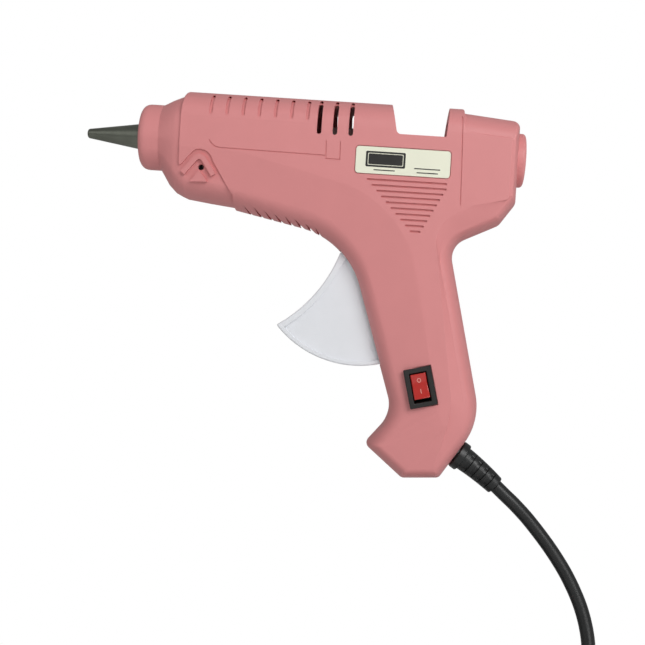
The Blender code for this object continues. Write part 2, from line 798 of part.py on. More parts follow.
def kept_inside():
    """What the halves hold inside their walls: guides, ribs and bosses, as solids to leave in."""
    kept = [notch("notch_wall", WALL)]
    kept.append(axis_rod("guide_wall", -NOTCH_FRONT - WALL, REAR_REACH, GUIDE_RADIUS + GUIDE_WALL))
    low = (-RIB_PLACE - WALL / 2, -HALF_WIDTH, -RIB_DROP)
    high = (-RIB_PLACE + WALL / 2, HALF_WIDTH, BARREL_TOP)
    rib = frame_box("chamber_rib", BARREL_FRAME, low, high)
    hole = axis_rod("rib_hole", -RIB_PLACE - WALL, -RIB_PLACE + WALL, SLEEVE_RADIUS + SEAT_GAP)
    kept.append(cut(rib, [hole]))
    rail_front = CARRIAGE_FRONT + FEED_STROKE + RAIL_THICK
    rail_back = CARRIAGE_FRONT - CARRIAGE_LENGTH - RAIL_THICK
    for side in (-1, 1):
        for rise in (-1, 1):
            inner = rise * (WING_THICK / 2 + RUN_GAP)
            outer = inner + rise * RAIL_THICK
            low = (-rail_front, min(side * RAIL_INNER, side * HALF_WIDTH), min(inner, outer))
            high = (-rail_back, max(side * RAIL_INNER, side * HALF_WIDTH), max(inner, outer))
            kept.append(frame_box("rail", BARREL_FRAME, low, high))
        near, far = side * (TRIGGER_RIM + SLOT_GAP), side * HALF_WIDTH
        kept.append(cross_rod("pivot_boss", (HINGE_X, HINGE_Z), near, far, PIVOT_BOSS))
    for place in SCREW_PLACES.values():
        kept.append(cross_rod("screw_boss", place, -HALF_WIDTH, HALF_WIDTH, SCREW_BOSS))
    post = (HINGE_X + EAR_REACH, HINGE_Z - SPRING_LENGTH)
    kept.append(cross_rod("spring_post", post, SPRING_SIDE - SPRING_WIRE * 2, HALF_WIDTH, SPRING_POST, 12))
    for side in (-1, 1):
        start = EXIT_FRAME @ Vector((-CLAMP_BACK, -HALF_WIDTH, side * CLAMP_SPREAD))
        end = EXIT_FRAME @ Vector((-CLAMP_BACK, -SEAM_GAP / 2, side * CLAMP_SPREAD))
        kept.append(rod("clamp_boss", start, end, CLAMP_BOSS, 12))
    low = (-CLAMP_BACK - CLAMP_WIDE / 2, -HALF_WIDTH, -CORD_DIAMETER / 2)
    high = (-CLAMP_BACK + CLAMP_WIDE / 2, -CORD_DIAMETER / 2 - SEAT_GAP, CORD_DIAMETER / 2)
    kept.append(frame_box("clamp_saddle", EXIT_FRAME, low, high))
    return kept


def trigger_sweep(name, gap):
    """Where the trigger moves through the grip's front wall."""
    radius = TRIGGER_RADIUS + gap
    sector = [(HINGE_X, HINGE_Z)]
    sector += circle(HINGE_X, HINGE_Z, radius, 18, math.radians(200), math.radians(292))
    width = TRIGGER_RIM + gap
    swept = prism(name, sector, -width, width)
    hub = cross_rod("hub_sweep", (HINGE_X, HINGE_Z), -width, width, TRIGGER_TOP_REACH + gap, 28)
    return join(swept, [hub])


def openings():
    """Everything that goes through the walls of both halves."""
    cuts = [notch("notch", 0)]
    cuts.append(axis_rod("stick_way", -NOTCH_FRONT - OVERRUN, REAR_REACH + OVERRUN, GUIDE_RADIUS))
    low = (NOTCH_BACK_FOOT - WALL, -ARCH_HALF_WIDTH, 0)
    high = (NOTCH_BACK + WALL * 2, ARCH_HALF_WIDTH, ARCH_TOP)
    cuts.append(frame_box("arch", BARREL_FRAME, low, high))
    hole = NOZZLE_BASE_RADIUS + SEAT_GAP
    cuts.append(axis_rod("nozzle_hole", -COLLAR_REACH - OVERRUN, -COLLAR_REACH + OVERRUN, hole))
    for k in range(VENT_COUNT):
        u = -VENT_FIRST + k * VENT_PITCH
        low = (u - VENT_WIDTH / 2, -HALF_WIDTH - OVERRUN, VENT_LOW)
        high = (u + VENT_WIDTH / 2, HALF_WIDTH + OVERRUN, VENT_HIGH)
        cuts.append(frame_box("vent", BARREL_FRAME, low, high))
    place = barrel_share(*STAND_HOLE_SHARES)
    reach = HALF_WIDTH + OVERRUN
    cuts.append(cross_rod("stand_hole", place, -reach, reach, STAND_HOLE_RADIUS, 12))
    cuts.append(trigger_sweep("trigger_slot", SLOT_GAP))
    start = EXIT_FRAME @ Vector((-WALL * 2, 0, 0))
    end = EXIT_FRAME @ Vector((OVERRUN, 0, 0))
    cuts.append(rod("exit_hole", start, end, RELIEF_NECK + SEAT_GAP, 20))
    start, end = (EXIT_FRAME @ Vector((-WALL * k, 0, 0)) for k in (1, 3))
    cuts.append(rod("collar_seat", start, end, RELIEF_COLLAR + SEAT_GAP, 20))
    pin = PIVOT_REACH + SEAT_GAP
    cuts.append(cross_rod("pivot_hole", (HINGE_X, HINGE_Z), -pin, pin, PIVOT_RADIUS + SEAT_GAP))
    for place in SCREW_PLACES.values():
        bite = SCREW_BITE + SEAT_GAP
        shank = SCREW_RADIUS + SEAT_GAP
        cuts.append(cross_rod("screw_way", place, -bite, SCREW_SEAT + OVERRUN, shank, 12))
        head = SCREW_HEAD + SEAT_GAP
        cuts.append(cross_rod("screw_sink", place, SCREW_SEAT, HALF_WIDTH + OVERRUN, head, 16))
    return cuts


def left_openings():
    """What only the label side has: the label's seat, the switch and the cord clamp's screws."""
    foot = -LABEL_DROP - LABEL_HEIGHT
    low = (-LABEL_FRONT - SEAT_GAP, -HALF_WIDTH - OVERRUN, foot - SEAT_GAP)
    high = (LABEL_BACK + SEAT_GAP, -HALF_WIDTH + LABEL_SINK, -LABEL_DROP + SEAT_GAP)
    cuts = [frame_box("label_seat", BARREL_FRAME, low, high)]
    long, short = BEZEL_LONG / 2 + SEAT_GAP, BEZEL_SHORT / 2 + SEAT_GAP
    cuts.append(frame_box("switch_pad", SWITCH_FRAME, (-short, -OVERRUN, -long), (short, 0, long)))
    long, short = SWITCH_BODY_LONG / 2 + SEAT_GAP, SWITCH_BODY_SHORT / 2 + SEAT_GAP
    deep = SWITCH_BODY_DEPTH
    cuts.append(frame_box("switch_way", SWITCH_FRAME, (-short, -OVERRUN, -long), (short, deep, long)))
    for side in (-1, 1):
        start = EXIT_FRAME @ Vector((-CLAMP_BACK, -CLAMP_SCREW_BITE - SEAT_GAP, side * CLAMP_SPREAD))
        end = EXIT_FRAME @ Vector((-CLAMP_BACK, CORD_DIAMETER, side * CLAMP_SPREAD))
        cuts.append(rod("clamp_way", start, end, CLAMP_SCREW + SEAT_GAP / 2, 10))
    return cuts


def inlet_ring():
    """The raised ring round the stick's inlet."""
    ring = turned(
        "inlet_ring",
        [
            (REAR_REACH - WALL, INLET_RADIUS),
            (REAR_REACH + INLET_REACH * 0.6, INLET_RADIUS),
            (REAR_REACH + INLET_REACH, INLET_RADIUS - INLET_REACH * 0.5),
        ],
    )
    ring.data.transform(BARREL_FRAME)
    return ring


def shells():
    """The two halves of the body."""
    whole = cut(gun_body("shell_left", 0), [hook_cut()])
    join(whole, [snout("snout", 0), inlet_ring()])
    inside = join(gun_body("inside", WALL), [snout("snout_inside", WALL)])
    cut(inside, kept_inside())
    cut(whole, [inside])
    cut(whole, openings())
    cut(whole, [groove_comb()])
    other = whole.copy()
    other.data = whole.data.copy()
    bpy.context.scene.collection.objects.link(other)
    other.name = "shell_right"
    low = (-COLLAR_REACH - OVERRUN, -HALF_WIDTH * 2, -BARREL_REACH)
    high = (BARREL_REACH, HALF_WIDTH * 2, COLLAR_REACH)
    right_half = box("right_half", (low[0], -SEAM_GAP / 2, low[2]), high)
    left_half = box("left_half", low, (high[0], SEAM_GAP / 2, high[2]))
    cut(whole, [right_half, *left_openings()])
    cut(other, [left_half])
    for made in (whole, other):
        finish(tidy_mesh(made), "pink_plastic")
    whole.name = "shell_left"
    other.name = "shell_right"


def groove_comb():
    """The shallow grooves of both sides: boxes through the body, less what lies deeper than they go."""
    boxes = []
    for k in range(RIB_COUNT):
        u = -RIB_FIRST + k * RIB_PITCH
        boxes.append(((u - RIB_WIDTH / 2, RIB_LOW), (u + RIB_WIDTH / 2, RIB_HIGH)))
    for k in range(VENT_COUNT):
        u = -VENT_FIRST + k * VENT_PITCH
        boxes.append(((u - RIB_WIDTH / 2, VENT_HIGH - RIB_WIDTH), (u + RIB_WIDTH / 2, RIB_HIGH)))
    for k in range(LINE_COUNT):
        v = -LINE_TOP - k * LINE_PITCH
        front = -LINE_FRONT * (1 - k / (LINE_COUNT - 1))
        back = LINE_BACK * (1 - max(k - 1, 0) / (LINE_COUNT + 1))
        boxes.append(((front, v - LINE_WIDTH / 2), (back, v + LINE_WIDTH / 2)))
    bm = bmesh.new()
    for (near, low), (far, high) in boxes:
        corners = [(near, low), (far, low), (far, high), (near, high)]
        rows = []
        for y in (-HALF_WIDTH - OVERRUN, HALF_WIDTH + OVERRUN):
            rows.append([bm.verts.new(BARREL_FRAME @ Vector((u, y, v))) for u, v in corners])
        for i in range(4):
            j = (i + 1) % 4
            bm.faces.new((rows[0][i], rows[0][j], rows[1][j], rows[1][i]))
        bm.faces.new(rows[0])
        bm.faces.new(reversed(rows[1]))
    return cut(body("groove_comb", bm), [gun_body("groove_core", GROOVE_SINK)])


# The heated barrel


def ring_body(name, profile, sides=28):
    """A ring turned about X, whose profile of places and radii is a closed loop."""
    bm = bmesh.new()
    angles = [math.tau * i / sides for i in range(sides)]
    rows = [[bm.verts.new((x, r * math.cos(a), r * math.sin(a))) for a in angles] for x, r in profile]
    for near, far in zip(rows, rows[1:] + rows[:1]):
        for i in range(sides):
            j = (i + 1) % sides
            bm.faces.new((near[i], near[j], far[j], far[i]))
    return body(name, bm)


def nozzle():
    """The metal nozzle and its stub, with the bore for the melt."""
    wall_back = -COLLAR_REACH + WALL
    stub_back = -CHAMBER_FRONT - SEAT_GAP
    profile = [
        (-NOZZLE_TIP, NOZZLE_BORE),
        (-NOZZLE_TIP, NOZZLE_TIP_RADIUS),
        (-COLLAR_REACH, NOZZLE_BASE_RADIUS),
        (wall_back, NOZZLE_BASE_RADIUS),
        (wall_back, NOZZLE_STUB),
        (stub_back, NOZZLE_STUB),
        (stub_back, NOZZLE_BORE),
    ]
    finish(ring_body("nozzle", profile), "nozzle_metal", BARREL_FRAME)


def pocket_size():
    """The clear height of the heater's pocket: the heater, its two plates and the gaps between them."""
    return HEATER_THICK + PLATE_THICK * 2 + SEAT_GAP * 4


def melt_chamber():
    """The cast chamber that melts the stick, with the heater's pocket below it."""
    outer = [
        (-CHAMBER_FRONT, CHAMBER_NOSE),
        (-CHAMBER_FRONT + WASHER_THICK, CHAMBER_NOSE),
        (-CHAMBER_FRONT + WASHER_THICK, CHAMBER_RADIUS),
        (-CHAMBER_BACK, CHAMBER_RADIUS),
        (-CHAMBER_BACK, NECK_RADIUS),
        (-CHAMBER_BACK + NECK_LENGTH, NECK_RADIUS),
    ]
    made = turned("melt_chamber", outer)
    half = HEATER_WIDTH / 2 + SEAT_GAP
    low = -POCKET_TOP - pocket_size()
    front, back = -HEATER_FRONT, -HEATER_FRONT + HEATER_LENGTH
    around = (-half - POCKET_WALL, low - POCKET_WALL), (half + POCKET_WALL, -CHAMBER_BORE - WALL / 2)
    block = box("pocket", (front, around[0][0], around[0][1]), (back, around[1][0], around[1][1]))
    join(made, [block])
    slot = box("pocket_slot", (front - OVERRUN, -half, low), (back + OVERRUN * 4, half, -POCKET_TOP))
    bore = turned(
        "chamber_bore",
        [
            (-CHAMBER_FRONT - OVERRUN, CHAMBER_MOUTH),
            (-CHAMBER_BACK - CHAMBER_THROAT * 2, CHAMBER_MOUTH),
            (-CHAMBER_BACK - CHAMBER_THROAT, CHAMBER_BORE),
            (-CHAMBER_BACK + NECK_LENGTH + OVERRUN, CHAMBER_BORE),
        ],
    )
    finish(cut(made, [slot, bore]), "cast_metal", BARREL_FRAME)


def front_washer():
    """The insulating washer that carries the chamber's nose in the collar."""
    front, back = -CHAMBER_FRONT, -CHAMBER_FRONT + WASHER_THICK - SEAT_GAP
    inner = CHAMBER_NOSE + SEAT_GAP
    profile = [(front, inner), (front, WASHER_RADIUS), (back, WASHER_RADIUS), (back, inner)]
    finish(ring_body("front_washer", profile), "ceramic", BARREL_FRAME)


def heater():
    """The flat ceramic heater between its two electrode plates, and the clip that holds them."""
    front = -HEATER_FRONT
    half = HEATER_WIDTH / 2
    top = -POCKET_TOP - SEAT_GAP
    for name, tab in (("heater_electrode_upper", 0), ("heater_electrode_lower", PLATE_TAB)):
        low = (front, -half, top - PLATE_THICK)
        high = (front + HEATER_LENGTH + tab, half, top)
        finish(box(name, low, high), "brass", BARREL_FRAME)
        top -= PLATE_THICK + HEATER_THICK + SEAT_GAP * 2
    top = -POCKET_TOP - SEAT_GAP * 2 - PLATE_THICK
    core = box("ptc_heater", (front, -half, top - HEATER_THICK), (front + HEATER_LENGTH, half, top))
    finish(core, "ceramic", BARREL_FRAME)


def clip_outline(out):
    """The clip's outline of y and v, round the chamber and its heater pocket, out by some amount."""
    half = HEATER_WIDTH / 2 + SEAT_GAP * 2 + POCKET_WALL + out
    low = -POCKET_TOP - pocket_size() - POCKET_WALL - SEAT_GAP - out
    radius = CHAMBER_RADIUS + SEAT_GAP + out
    turn = math.acos(half / radius)
    arc = circle(0, 0, radius, 15, -turn, math.pi + turn)
    return [(half, low), *arc, (-half, low)]


def heater_clip():
    """The spring clip, a closed band round the chamber and the pocket."""
    bm = bmesh.new()
    rows = []
    for out, u in ((0, 0), (CLIP_THICK, 0), (CLIP_THICK, CLIP_WIDTH), (0, CLIP_WIDTH)):
        rows.append([bm.verts.new((-CLIP_FRONT + u, y, v)) for y, v in clip_outline(out)])
    for near, far in zip(rows, rows[1:] + rows[:1]):
        for i in range(len(near)):
            j = (i + 1) % len(near)
            bm.faces.new((near[i], near[j], far[j], far[i]))
    finish(body("heater_clip", bm), "steel", BARREL_FRAME)


def inlet_sleeve():
    """The silicone sleeve that leads the stick into the chamber, and the wire that clamps it."""
    front, step = -CHAMBER_BACK + SEAT_GAP, -CHAMBER_BACK + NECK_LENGTH + SEAT_GAP
    neck = NECK_RADIUS + SEAT_GAP
    profile = [
        (front, neck),
        (front, SLEEVE_RADIUS),
        (-SLEEVE_BACK, SLEEVE_RADIUS),
        (-SLEEVE_BACK, SLEEVE_MOUTH),
        (-SLEEVE_BACK - NECK_LENGTH / 2, SLEEVE_BORE),
        (step, SLEEVE_BORE),
        (step, neck),
    ]
    finish(ring_body("inlet_sleeve", profile), "silicone", BARREL_FRAME)
    middle = SLEEVE_RADIUS + SEAT_GAP + CLAMP_WIRE
    profile = circle(front + NECK_LENGTH / 2, middle, CLAMP_WIRE, 6)
    finish(ring_body("sleeve_clamp", profile), "steel", BARREL_FRAME)


# The stick feed


def hang(name, place, pieces):
    """Parents pieces to an empty on their joint's axis."""
    pivot = bpy.data.objects.new(name, None)
    pivot.location = place
    bpy.context.scene.collection.objects.link(pivot)
    bpy.context.view_layer.update()
    for piece in pieces:
        piece.parent = pivot
        piece.matrix_parent_inverse = pivot.matrix_world.inverted()


def carriage_pin_place():
    """The carriage pin's u and v."""
    return -ARM_PIN_BACK - LINK_LENGTH, -ARM_PIN_DROP


def local_rod(name, place, low, high, radius, sides=14):
    """A rod along Y at a place given as u and v, in the barrel's own frame."""
    return rod(name, (place[0], low, place[1]), (place[0], high, place[1]), radius, sides)


def feed_carriage():
    """The ring that rides round the stick on two wings, with the lugs for the jaw and the links."""
    front, back = -CARRIAGE_FRONT, -CARRIAGE_FRONT + CARRIAGE_LENGTH
    outer = GUIDE_RADIUS + CARRIAGE_WALL
    made = turned("feed_carriage", [(front, outer), (back, outer)])
    pin_u, pin_v = carriage_pin_place()
    inner = ARM_HALF_THICK + SEAT_GAP * 2 + LINK_THICK + SEAT_GAP
    parts = []
    for side in (-1, 1):
        near, far = sorted((side * GUIDE_RADIUS, side * WING_REACH))
        parts.append(box("wing", (front, near, -WING_THICK / 2), (back, far, WING_THICK / 2)))
        near, far = sorted((side * inner, side * (inner + LUG_THICK)))
        low = (pin_u - LINK_HALF_HEIGHT, near, pin_v - LINK_HALF_HEIGHT)
        parts.append(box("lug", low, (pin_u + LINK_HALF_HEIGHT, far, -GUIDE_RADIUS)))
    join(made, parts)
    bore = turned("carriage_bore", [(front - OVERRUN, GUIDE_RADIUS), (back + OVERRUN, GUIDE_RADIUS)])
    low = (front - OVERRUN, -JAW_SLOT, pin_v)
    slot = box("jaw_slot", low, (pin_u + LINK_HALF_HEIGHT + SEAT_GAP, JAW_SLOT, 0))
    hole = local_rod("pin_hole", (pin_u, pin_v), -WING_REACH, WING_REACH, PIN_RADIUS + SEAT_GAP)
    return finish(cut(made, [bore, slot, hole]), "feed_plastic", BARREL_FRAME)


def grip_jaw():
    """The jaw that bites into the stick when the trigger is pulled."""
    pin_u, pin_v = carriage_pin_place()
    nose = (pin_u - JAW_REACH, pin_v + JAW_RISE)
    made = local_rod("grip_jaw", (pin_u, pin_v), -ARM_HALF_THICK, ARM_HALF_THICK, JAW_EYE, 18)
    outline = [
        (pin_u + JAW_EYE / 2, pin_v + JAW_EYE * 0.8),
        (nose[0] + JAW_EYE / 2, nose[1]),
        nose,
        (nose[0] - JAW_EYE / 8, nose[1] - JAW_EYE / 4),
        (pin_u - JAW_EYE * 0.6, pin_v - JAW_EYE * 0.6),
    ]
    join(made, [prism("jaw_nose", outline, -ARM_HALF_THICK, ARM_HALF_THICK)])
    hole = local_rod("jaw_hole", (pin_u, pin_v), -WING_REACH, WING_REACH, PIN_RADIUS + SEAT_GAP)
    return finish(cut(made, [hole]), "steel", BARREL_FRAME)


def feed_links():
    """The two link plates from the trigger's arm to the carriage; their front holes have slack."""
    pin_u, pin_v = carriage_pin_place()
    made = []
    for side, name in ((-1, "feed_link_left"), (1, "feed_link_right")):
        near = side * (ARM_HALF_THICK + SEAT_GAP)
        low, high = sorted((near, near + side * LINK_THICK))
        front = circle(pin_u, pin_v, LINK_HALF_HEIGHT, 9, math.pi / 2, math.pi * 3 / 2)
        back = circle(-ARM_PIN_BACK, pin_v, LINK_HALF_HEIGHT, 9, -math.pi / 2, math.pi / 2)
        plate = prism(name, front + back, low, high)
        hole = PIN_RADIUS + SEAT_GAP
        top = circle(pin_u, pin_v, hole, 8, 0, math.pi)
        foot = circle(pin_u, pin_v - LINK_SLACK, hole, 8, math.pi, math.tau)
        slot = prism("link_slot", top + foot, low - OVERRUN, high + OVERRUN)
        pin_hole = local_rod("link_hole", (-ARM_PIN_BACK, pin_v), low - OVERRUN, high + OVERRUN, hole)
        made.append(finish(cut(plate, [slot, pin_hole]), "steel", BARREL_FRAME))
    return made


def feed_pins():
    """The pin through the carriage's lugs and the pin through the trigger's arm."""
    link_side = ARM_HALF_THICK + SEAT_GAP + LINK_THICK
    half = link_side + SEAT_GAP + LUG_THICK + SEAT_GAP
    pin = local_rod("carriage_pin", carriage_pin_place(), -half, half, PIN_RADIUS)
    carriage_pin = finish(pin, "steel", BARREL_FRAME)
    half = link_side + SEAT_GAP
    pin = local_rod("arm_pin", (-ARM_PIN_BACK, -ARM_PIN_DROP), -half, half, PIN_RADIUS)
    return carriage_pin, finish(pin, "steel", BARREL_FRAME)


# The trigger


def about_hinge(angle, radius):
    """A place of the seam plane at an angle and a distance from the trigger's hinge."""
    return HINGE_X + radius * math.cos(angle), HINGE_Z + radius * math.sin(angle)


def finger_arc(band, points=12):
    """The hollow edge that the finger pulls, moved into the trigger by a band."""
    top = Vector(about_hinge(TRIGGER_TOP_ANGLE, TRIGGER_TOP_REACH))
    tip = Vector(about_hinge(TRIGGER_TIP_ANGLE, TRIGGER_RADIUS))
    chord = top - tip
    across = Vector((-chord.y, chord.x)).normalized()
    rise = math.sqrt(FINGER_RADIUS**2 - (chord.length / 2) ** 2)
    centre = (top + tip) / 2 + across * rise
    spoke = top - centre
    first = math.atan2(spoke.y, spoke.x)
    spoke = tip - centre
    last = math.atan2(spoke.y, spoke.x)
    last -= math.tau if last > first else 0
    radius = FINGER_RADIUS + band
    trim = band / FINGER_RADIUS
    return circle(centre.x, centre.y, radius, points, first - trim, last + trim)


def trigger_outline(band):
    """The trigger's quadrant, in by a band along the finger's edge and the foot."""
    foot_radius = TRIGGER_RADIUS - band
    start = TRIGGER_TIP_ANGLE + math.radians(2) + band * 2 / TRIGGER_RADIUS
    foot = circle(HINGE_X, HINGE_Z, foot_radius, 16, start, TRIGGER_BACK_ANGLE - band / TRIGGER_RADIUS)
    hub = [about_hinge(math.radians(angle), TRIGGER_HUB + band) for angle in (-30, 15, 60, 105)]
    return finger_arc(band) + foot + hub


def trigger():
    """The trigger: a quadrant with a raised rim, a hub, the arm that drives the feed and the spring's ear."""
    made = prism("trigger", trigger_outline(0), -TRIGGER_RIM, TRIGGER_RIM)
    pockets = []
    for side in (-1, 1):
        near, far = sorted((side * TRIGGER_WEB, side * (TRIGGER_RIM + OVERRUN)))
        pockets.append(prism("web_pocket", trigger_outline(RIM_BAND), near, far))
    cut(made, pockets)
    hinge = (HINGE_X, HINGE_Z)
    hub = cross_rod("hub", hinge, -TRIGGER_HUB_HALF, TRIGGER_HUB_HALF, TRIGGER_HUB, 20)
    arm_pin = Vector(along(-ARM_PIN_BACK, -ARM_PIN_DROP))
    across = Vector((arm_pin.y - HINGE_Z, HINGE_X - arm_pin.x)).normalized()
    foot = Vector(hinge)
    outline = [
        tuple(foot - across * ARM_FOOT),
        tuple(arm_pin - across * ARM_EYE),
        tuple(arm_pin + across * ARM_EYE),
        tuple(foot + across * ARM_FOOT),
    ]
    arm = prism("arm", outline, -ARM_HALF_THICK, ARM_HALF_THICK)
    eye = cross_rod("arm_eye", tuple(arm_pin), -ARM_HALF_THICK, ARM_HALF_THICK, ARM_EYE, 18)
    ear_place = (HINGE_X + EAR_REACH, HINGE_Z)
    low = (HINGE_X, -EAR_HALF_THICK, HINGE_Z - EAR_RADIUS)
    ear = box("ear", low, (ear_place[0], EAR_HALF_THICK, HINGE_Z + EAR_RADIUS))
    post = cross_rod("ear_post", ear_place, -EAR_HALF_THICK, SPRING_SIDE + SPRING_WIRE * 2, SPRING_POST, 12)
    join(made, [hub, arm, eye, ear, post])
    reach = TRIGGER_HUB_HALF + OVERRUN
    bore = cross_rod("hub_bore", hinge, -reach, reach, PIVOT_RADIUS + SEAT_GAP, 20)
    eye_bore = cross_rod("eye_bore", tuple(arm_pin), -reach, reach, PIN_RADIUS + SEAT_GAP, 14)
    return finish(cut(made, [bore, eye_bore]), "white_plastic")


def trigger_pin():
    """The pin that the trigger turns on, held in both halves."""
    pin = cross_rod("trigger_pin", (HINGE_X, HINGE_Z), -PIVOT_REACH, PIVOT_REACH, PIVOT_RADIUS, 20)
    finish(pin, "steel")


def return_spring():
    """The spring that draws the trigger's ear down to a post in the right half."""
    x = HINGE_X + EAR_REACH
    high, low = HINGE_Z, HINGE_Z - SPRING_LENGTH
    hook = SPRING_POST + SEAT_GAP + SPRING_WIRE / 2
    points = []
    for k in range(5):
        angle = math.pi + math.pi * k / 4
        points.append((x + hook * math.cos(angle), SPRING_SIDE, low + hook * math.sin(angle)))
    start, end = low + hook * 2, high - hook * 2
    steps = SPRING_TURNS * 8
    for k in range(steps + 1):
        angle = math.tau * k / 8
        z = start + (end - start) * k / steps
        points.append((x + SPRING_RADIUS * math.cos(angle), SPRING_SIDE + SPRING_RADIUS * math.sin(angle), z))
    for k in range(5):
        angle = math.pi * k / 4
        points.append((x + hook * math.cos(angle), SPRING_SIDE, high + hook * math.sin(angle)))
    finish(tube("return_spring", points, SPRING_WIRE / 2, 1), "steel")


# The switch


def switch_housing():
    """The bezel and the body behind it, open in front for the rocker."""
    long, short = BEZEL_LONG / 2, BEZEL_SHORT / 2
    made = box("switch_housing", (-short, -BEZEL_THICK, -long), (short, -SEAT_GAP, long))
    deep = SWITCH_BODY_DEPTH
    long, short = SWITCH_BODY_LONG / 2, SWITCH_BODY_SHORT / 2
    join(made, [box("switch_body", (-short, -BEZEL_THICK / 2, -long), (short, deep, long))])
    swing = math.sin(ROCKER_TILT) * (ROCKER_RISE + ROCKER_PIVOT)
    long, short = ROCKER_LONG / 2 + swing + SEAT_GAP, ROCKER_SHORT / 2 + SEAT_GAP
    well = box("switch_well", (-short, -BEZEL_THICK - OVERRUN, -long), (short, SWITCH_WELL, long))
    finish(cut(made, [well]), "black_plastic", SWITCH_FRAME)


def switch_rocker():
    """The red rocker, pressed in at the top."""
    turn = Matrix.Rotation(-ROCKER_TILT, 2)
    half = ROCKER_LONG / 2
    outline = [
        (-ROCKER_RISE, -half),
        (-ROCKER_DIP, 0),
        (-ROCKER_RISE, half),
        (ROCKER_PIVOT, half * 0.94),
        (ROCKER_DEEP, half * 0.40),
        (ROCKER_DEEP, -half * 0.40),
        (ROCKER_PIVOT, -half * 0.94),
    ]
    pivot = Vector((ROCKER_PIVOT, 0))
    rings = []
    for x in (-ROCKER_SHORT / 2, ROCKER_SHORT / 2):
        ring = []
        for y, z in outline:
            place = turn @ (Vector((y, z)) - pivot) + pivot
            ring.append((x, place.x, place.y))
        rings.append(ring)
    return finish(rings_body("switch_rocker", rings), "red_plastic", SWITCH_FRAME)


def switch_terminals():
    """The two blades at the back of the switch."""
    back = SWITCH_BODY_DEPTH + SEAT_GAP
    for side, name in ((-1, "switch_terminal_lower"), (1, "switch_terminal_upper")):
        z = side * BLADE_SPREAD
        low = (-BLADE_WIDTH / 2, back, z - BLADE_THICK / 2)
        blade = box(name, low, (BLADE_WIDTH / 2, back + BLADE_LENGTH, z + BLADE_THICK / 2))
        finish(blade, "brass", SWITCH_FRAME)


# Label and screws


def label_plate():
    """The bare label in its seat."""
    seat = -HALF_WIDTH + LABEL_SINK - SEAT_GAP
    low = (-LABEL_FRONT, seat - LABEL_THICK, -LABEL_DROP - LABEL_HEIGHT)
    high = (LABEL_BACK, seat, -LABEL_DROP)
    finish(box("label_plate", low, high), "label_plastic", BARREL_FRAME)


def shell_screws():
    """The six screws that hold the halves together, put in from the far side."""
    for spot, (x, z) in SCREW_PLACES.items():
        seat = SCREW_SEAT + SEAT_GAP
        profile = [
            (-SCREW_BITE, SCREW_RADIUS / 2),
            (-SCREW_BITE + SCREW_RADIUS, SCREW_RADIUS),
            (seat, SCREW_RADIUS),
            (seat, SCREW_HEAD),
            (seat + SCREW_HEAD_THICK / 2, SCREW_HEAD),
            (seat + SCREW_HEAD_THICK, SCREW_HEAD * 0.6),
        ]
        screw = turned(f"shell_screw_{spot}", profile, 12)
        finish(screw, "steel", Matrix.Translation((x, 0, z)) @ Matrix.Rotation(math.pi / 2, 4, "Z"))


# The mains lead


def relief_frame(reach):
    """The frame at a distance out along the strain relief, which droops a little under the lead."""
    root = SEAT_GAP + RELIEF_FLANGE_THICK
    if reach <= root:
        return EXIT_FRAME @ Matrix.Translation((reach, 0, 0))
    radius = (RELIEF_LENGTH - root) / RELIEF_DROOP
    angle = (reach - root) / radius
    place = Vector((root + radius * math.sin(angle), 0, -radius * (1 - math.cos(angle))))
    return EXIT_FRAME @ Matrix.Translation(place) @ Matrix.Rotation(angle, 4, "Y")


def strain_relief():
    """The moulded strain relief, whose neck sits in the hole of the sloping face."""
    inner = -WALL - SEAT_GAP
    profile = [
        (inner - RELIEF_COLLAR_THICK, RELIEF_COLLAR),
        (inner, RELIEF_COLLAR),
        (inner, RELIEF_NECK),
        (SEAT_GAP, RELIEF_NECK),
        (SEAT_GAP, RELIEF_FLANGE),
        (SEAT_GAP + RELIEF_FLANGE_THICK, RELIEF_FLANGE),
    ]
    start = SEAT_GAP + RELIEF_FLANGE_THICK
    pitch = (RELIEF_LENGTH - start) / (RELIEF_RINGS + 1 / 2)
    for k in range(RELIEF_RINGS * 2 + 2):
        share = k / (RELIEF_RINGS * 2 + 1)
        radius = RELIEF_ROOT_RADIUS + (RELIEF_END_RADIUS - RELIEF_ROOT_RADIUS) * share
        radius -= RELIEF_GROOVE if k % 2 and k <= RELIEF_RINGS * 2 else 0
        profile.append((start + pitch * k / 2, radius))
    rings = []
    for reach, radius in profile:
        frame = relief_frame(reach)
        places = circle(0, 0, radius, RELIEF_SIDES)
        rings.append([frame @ Vector((0, y, z)) for y, z in places])
    finish(rings_body("strain_relief", rings), "cord_rubber")


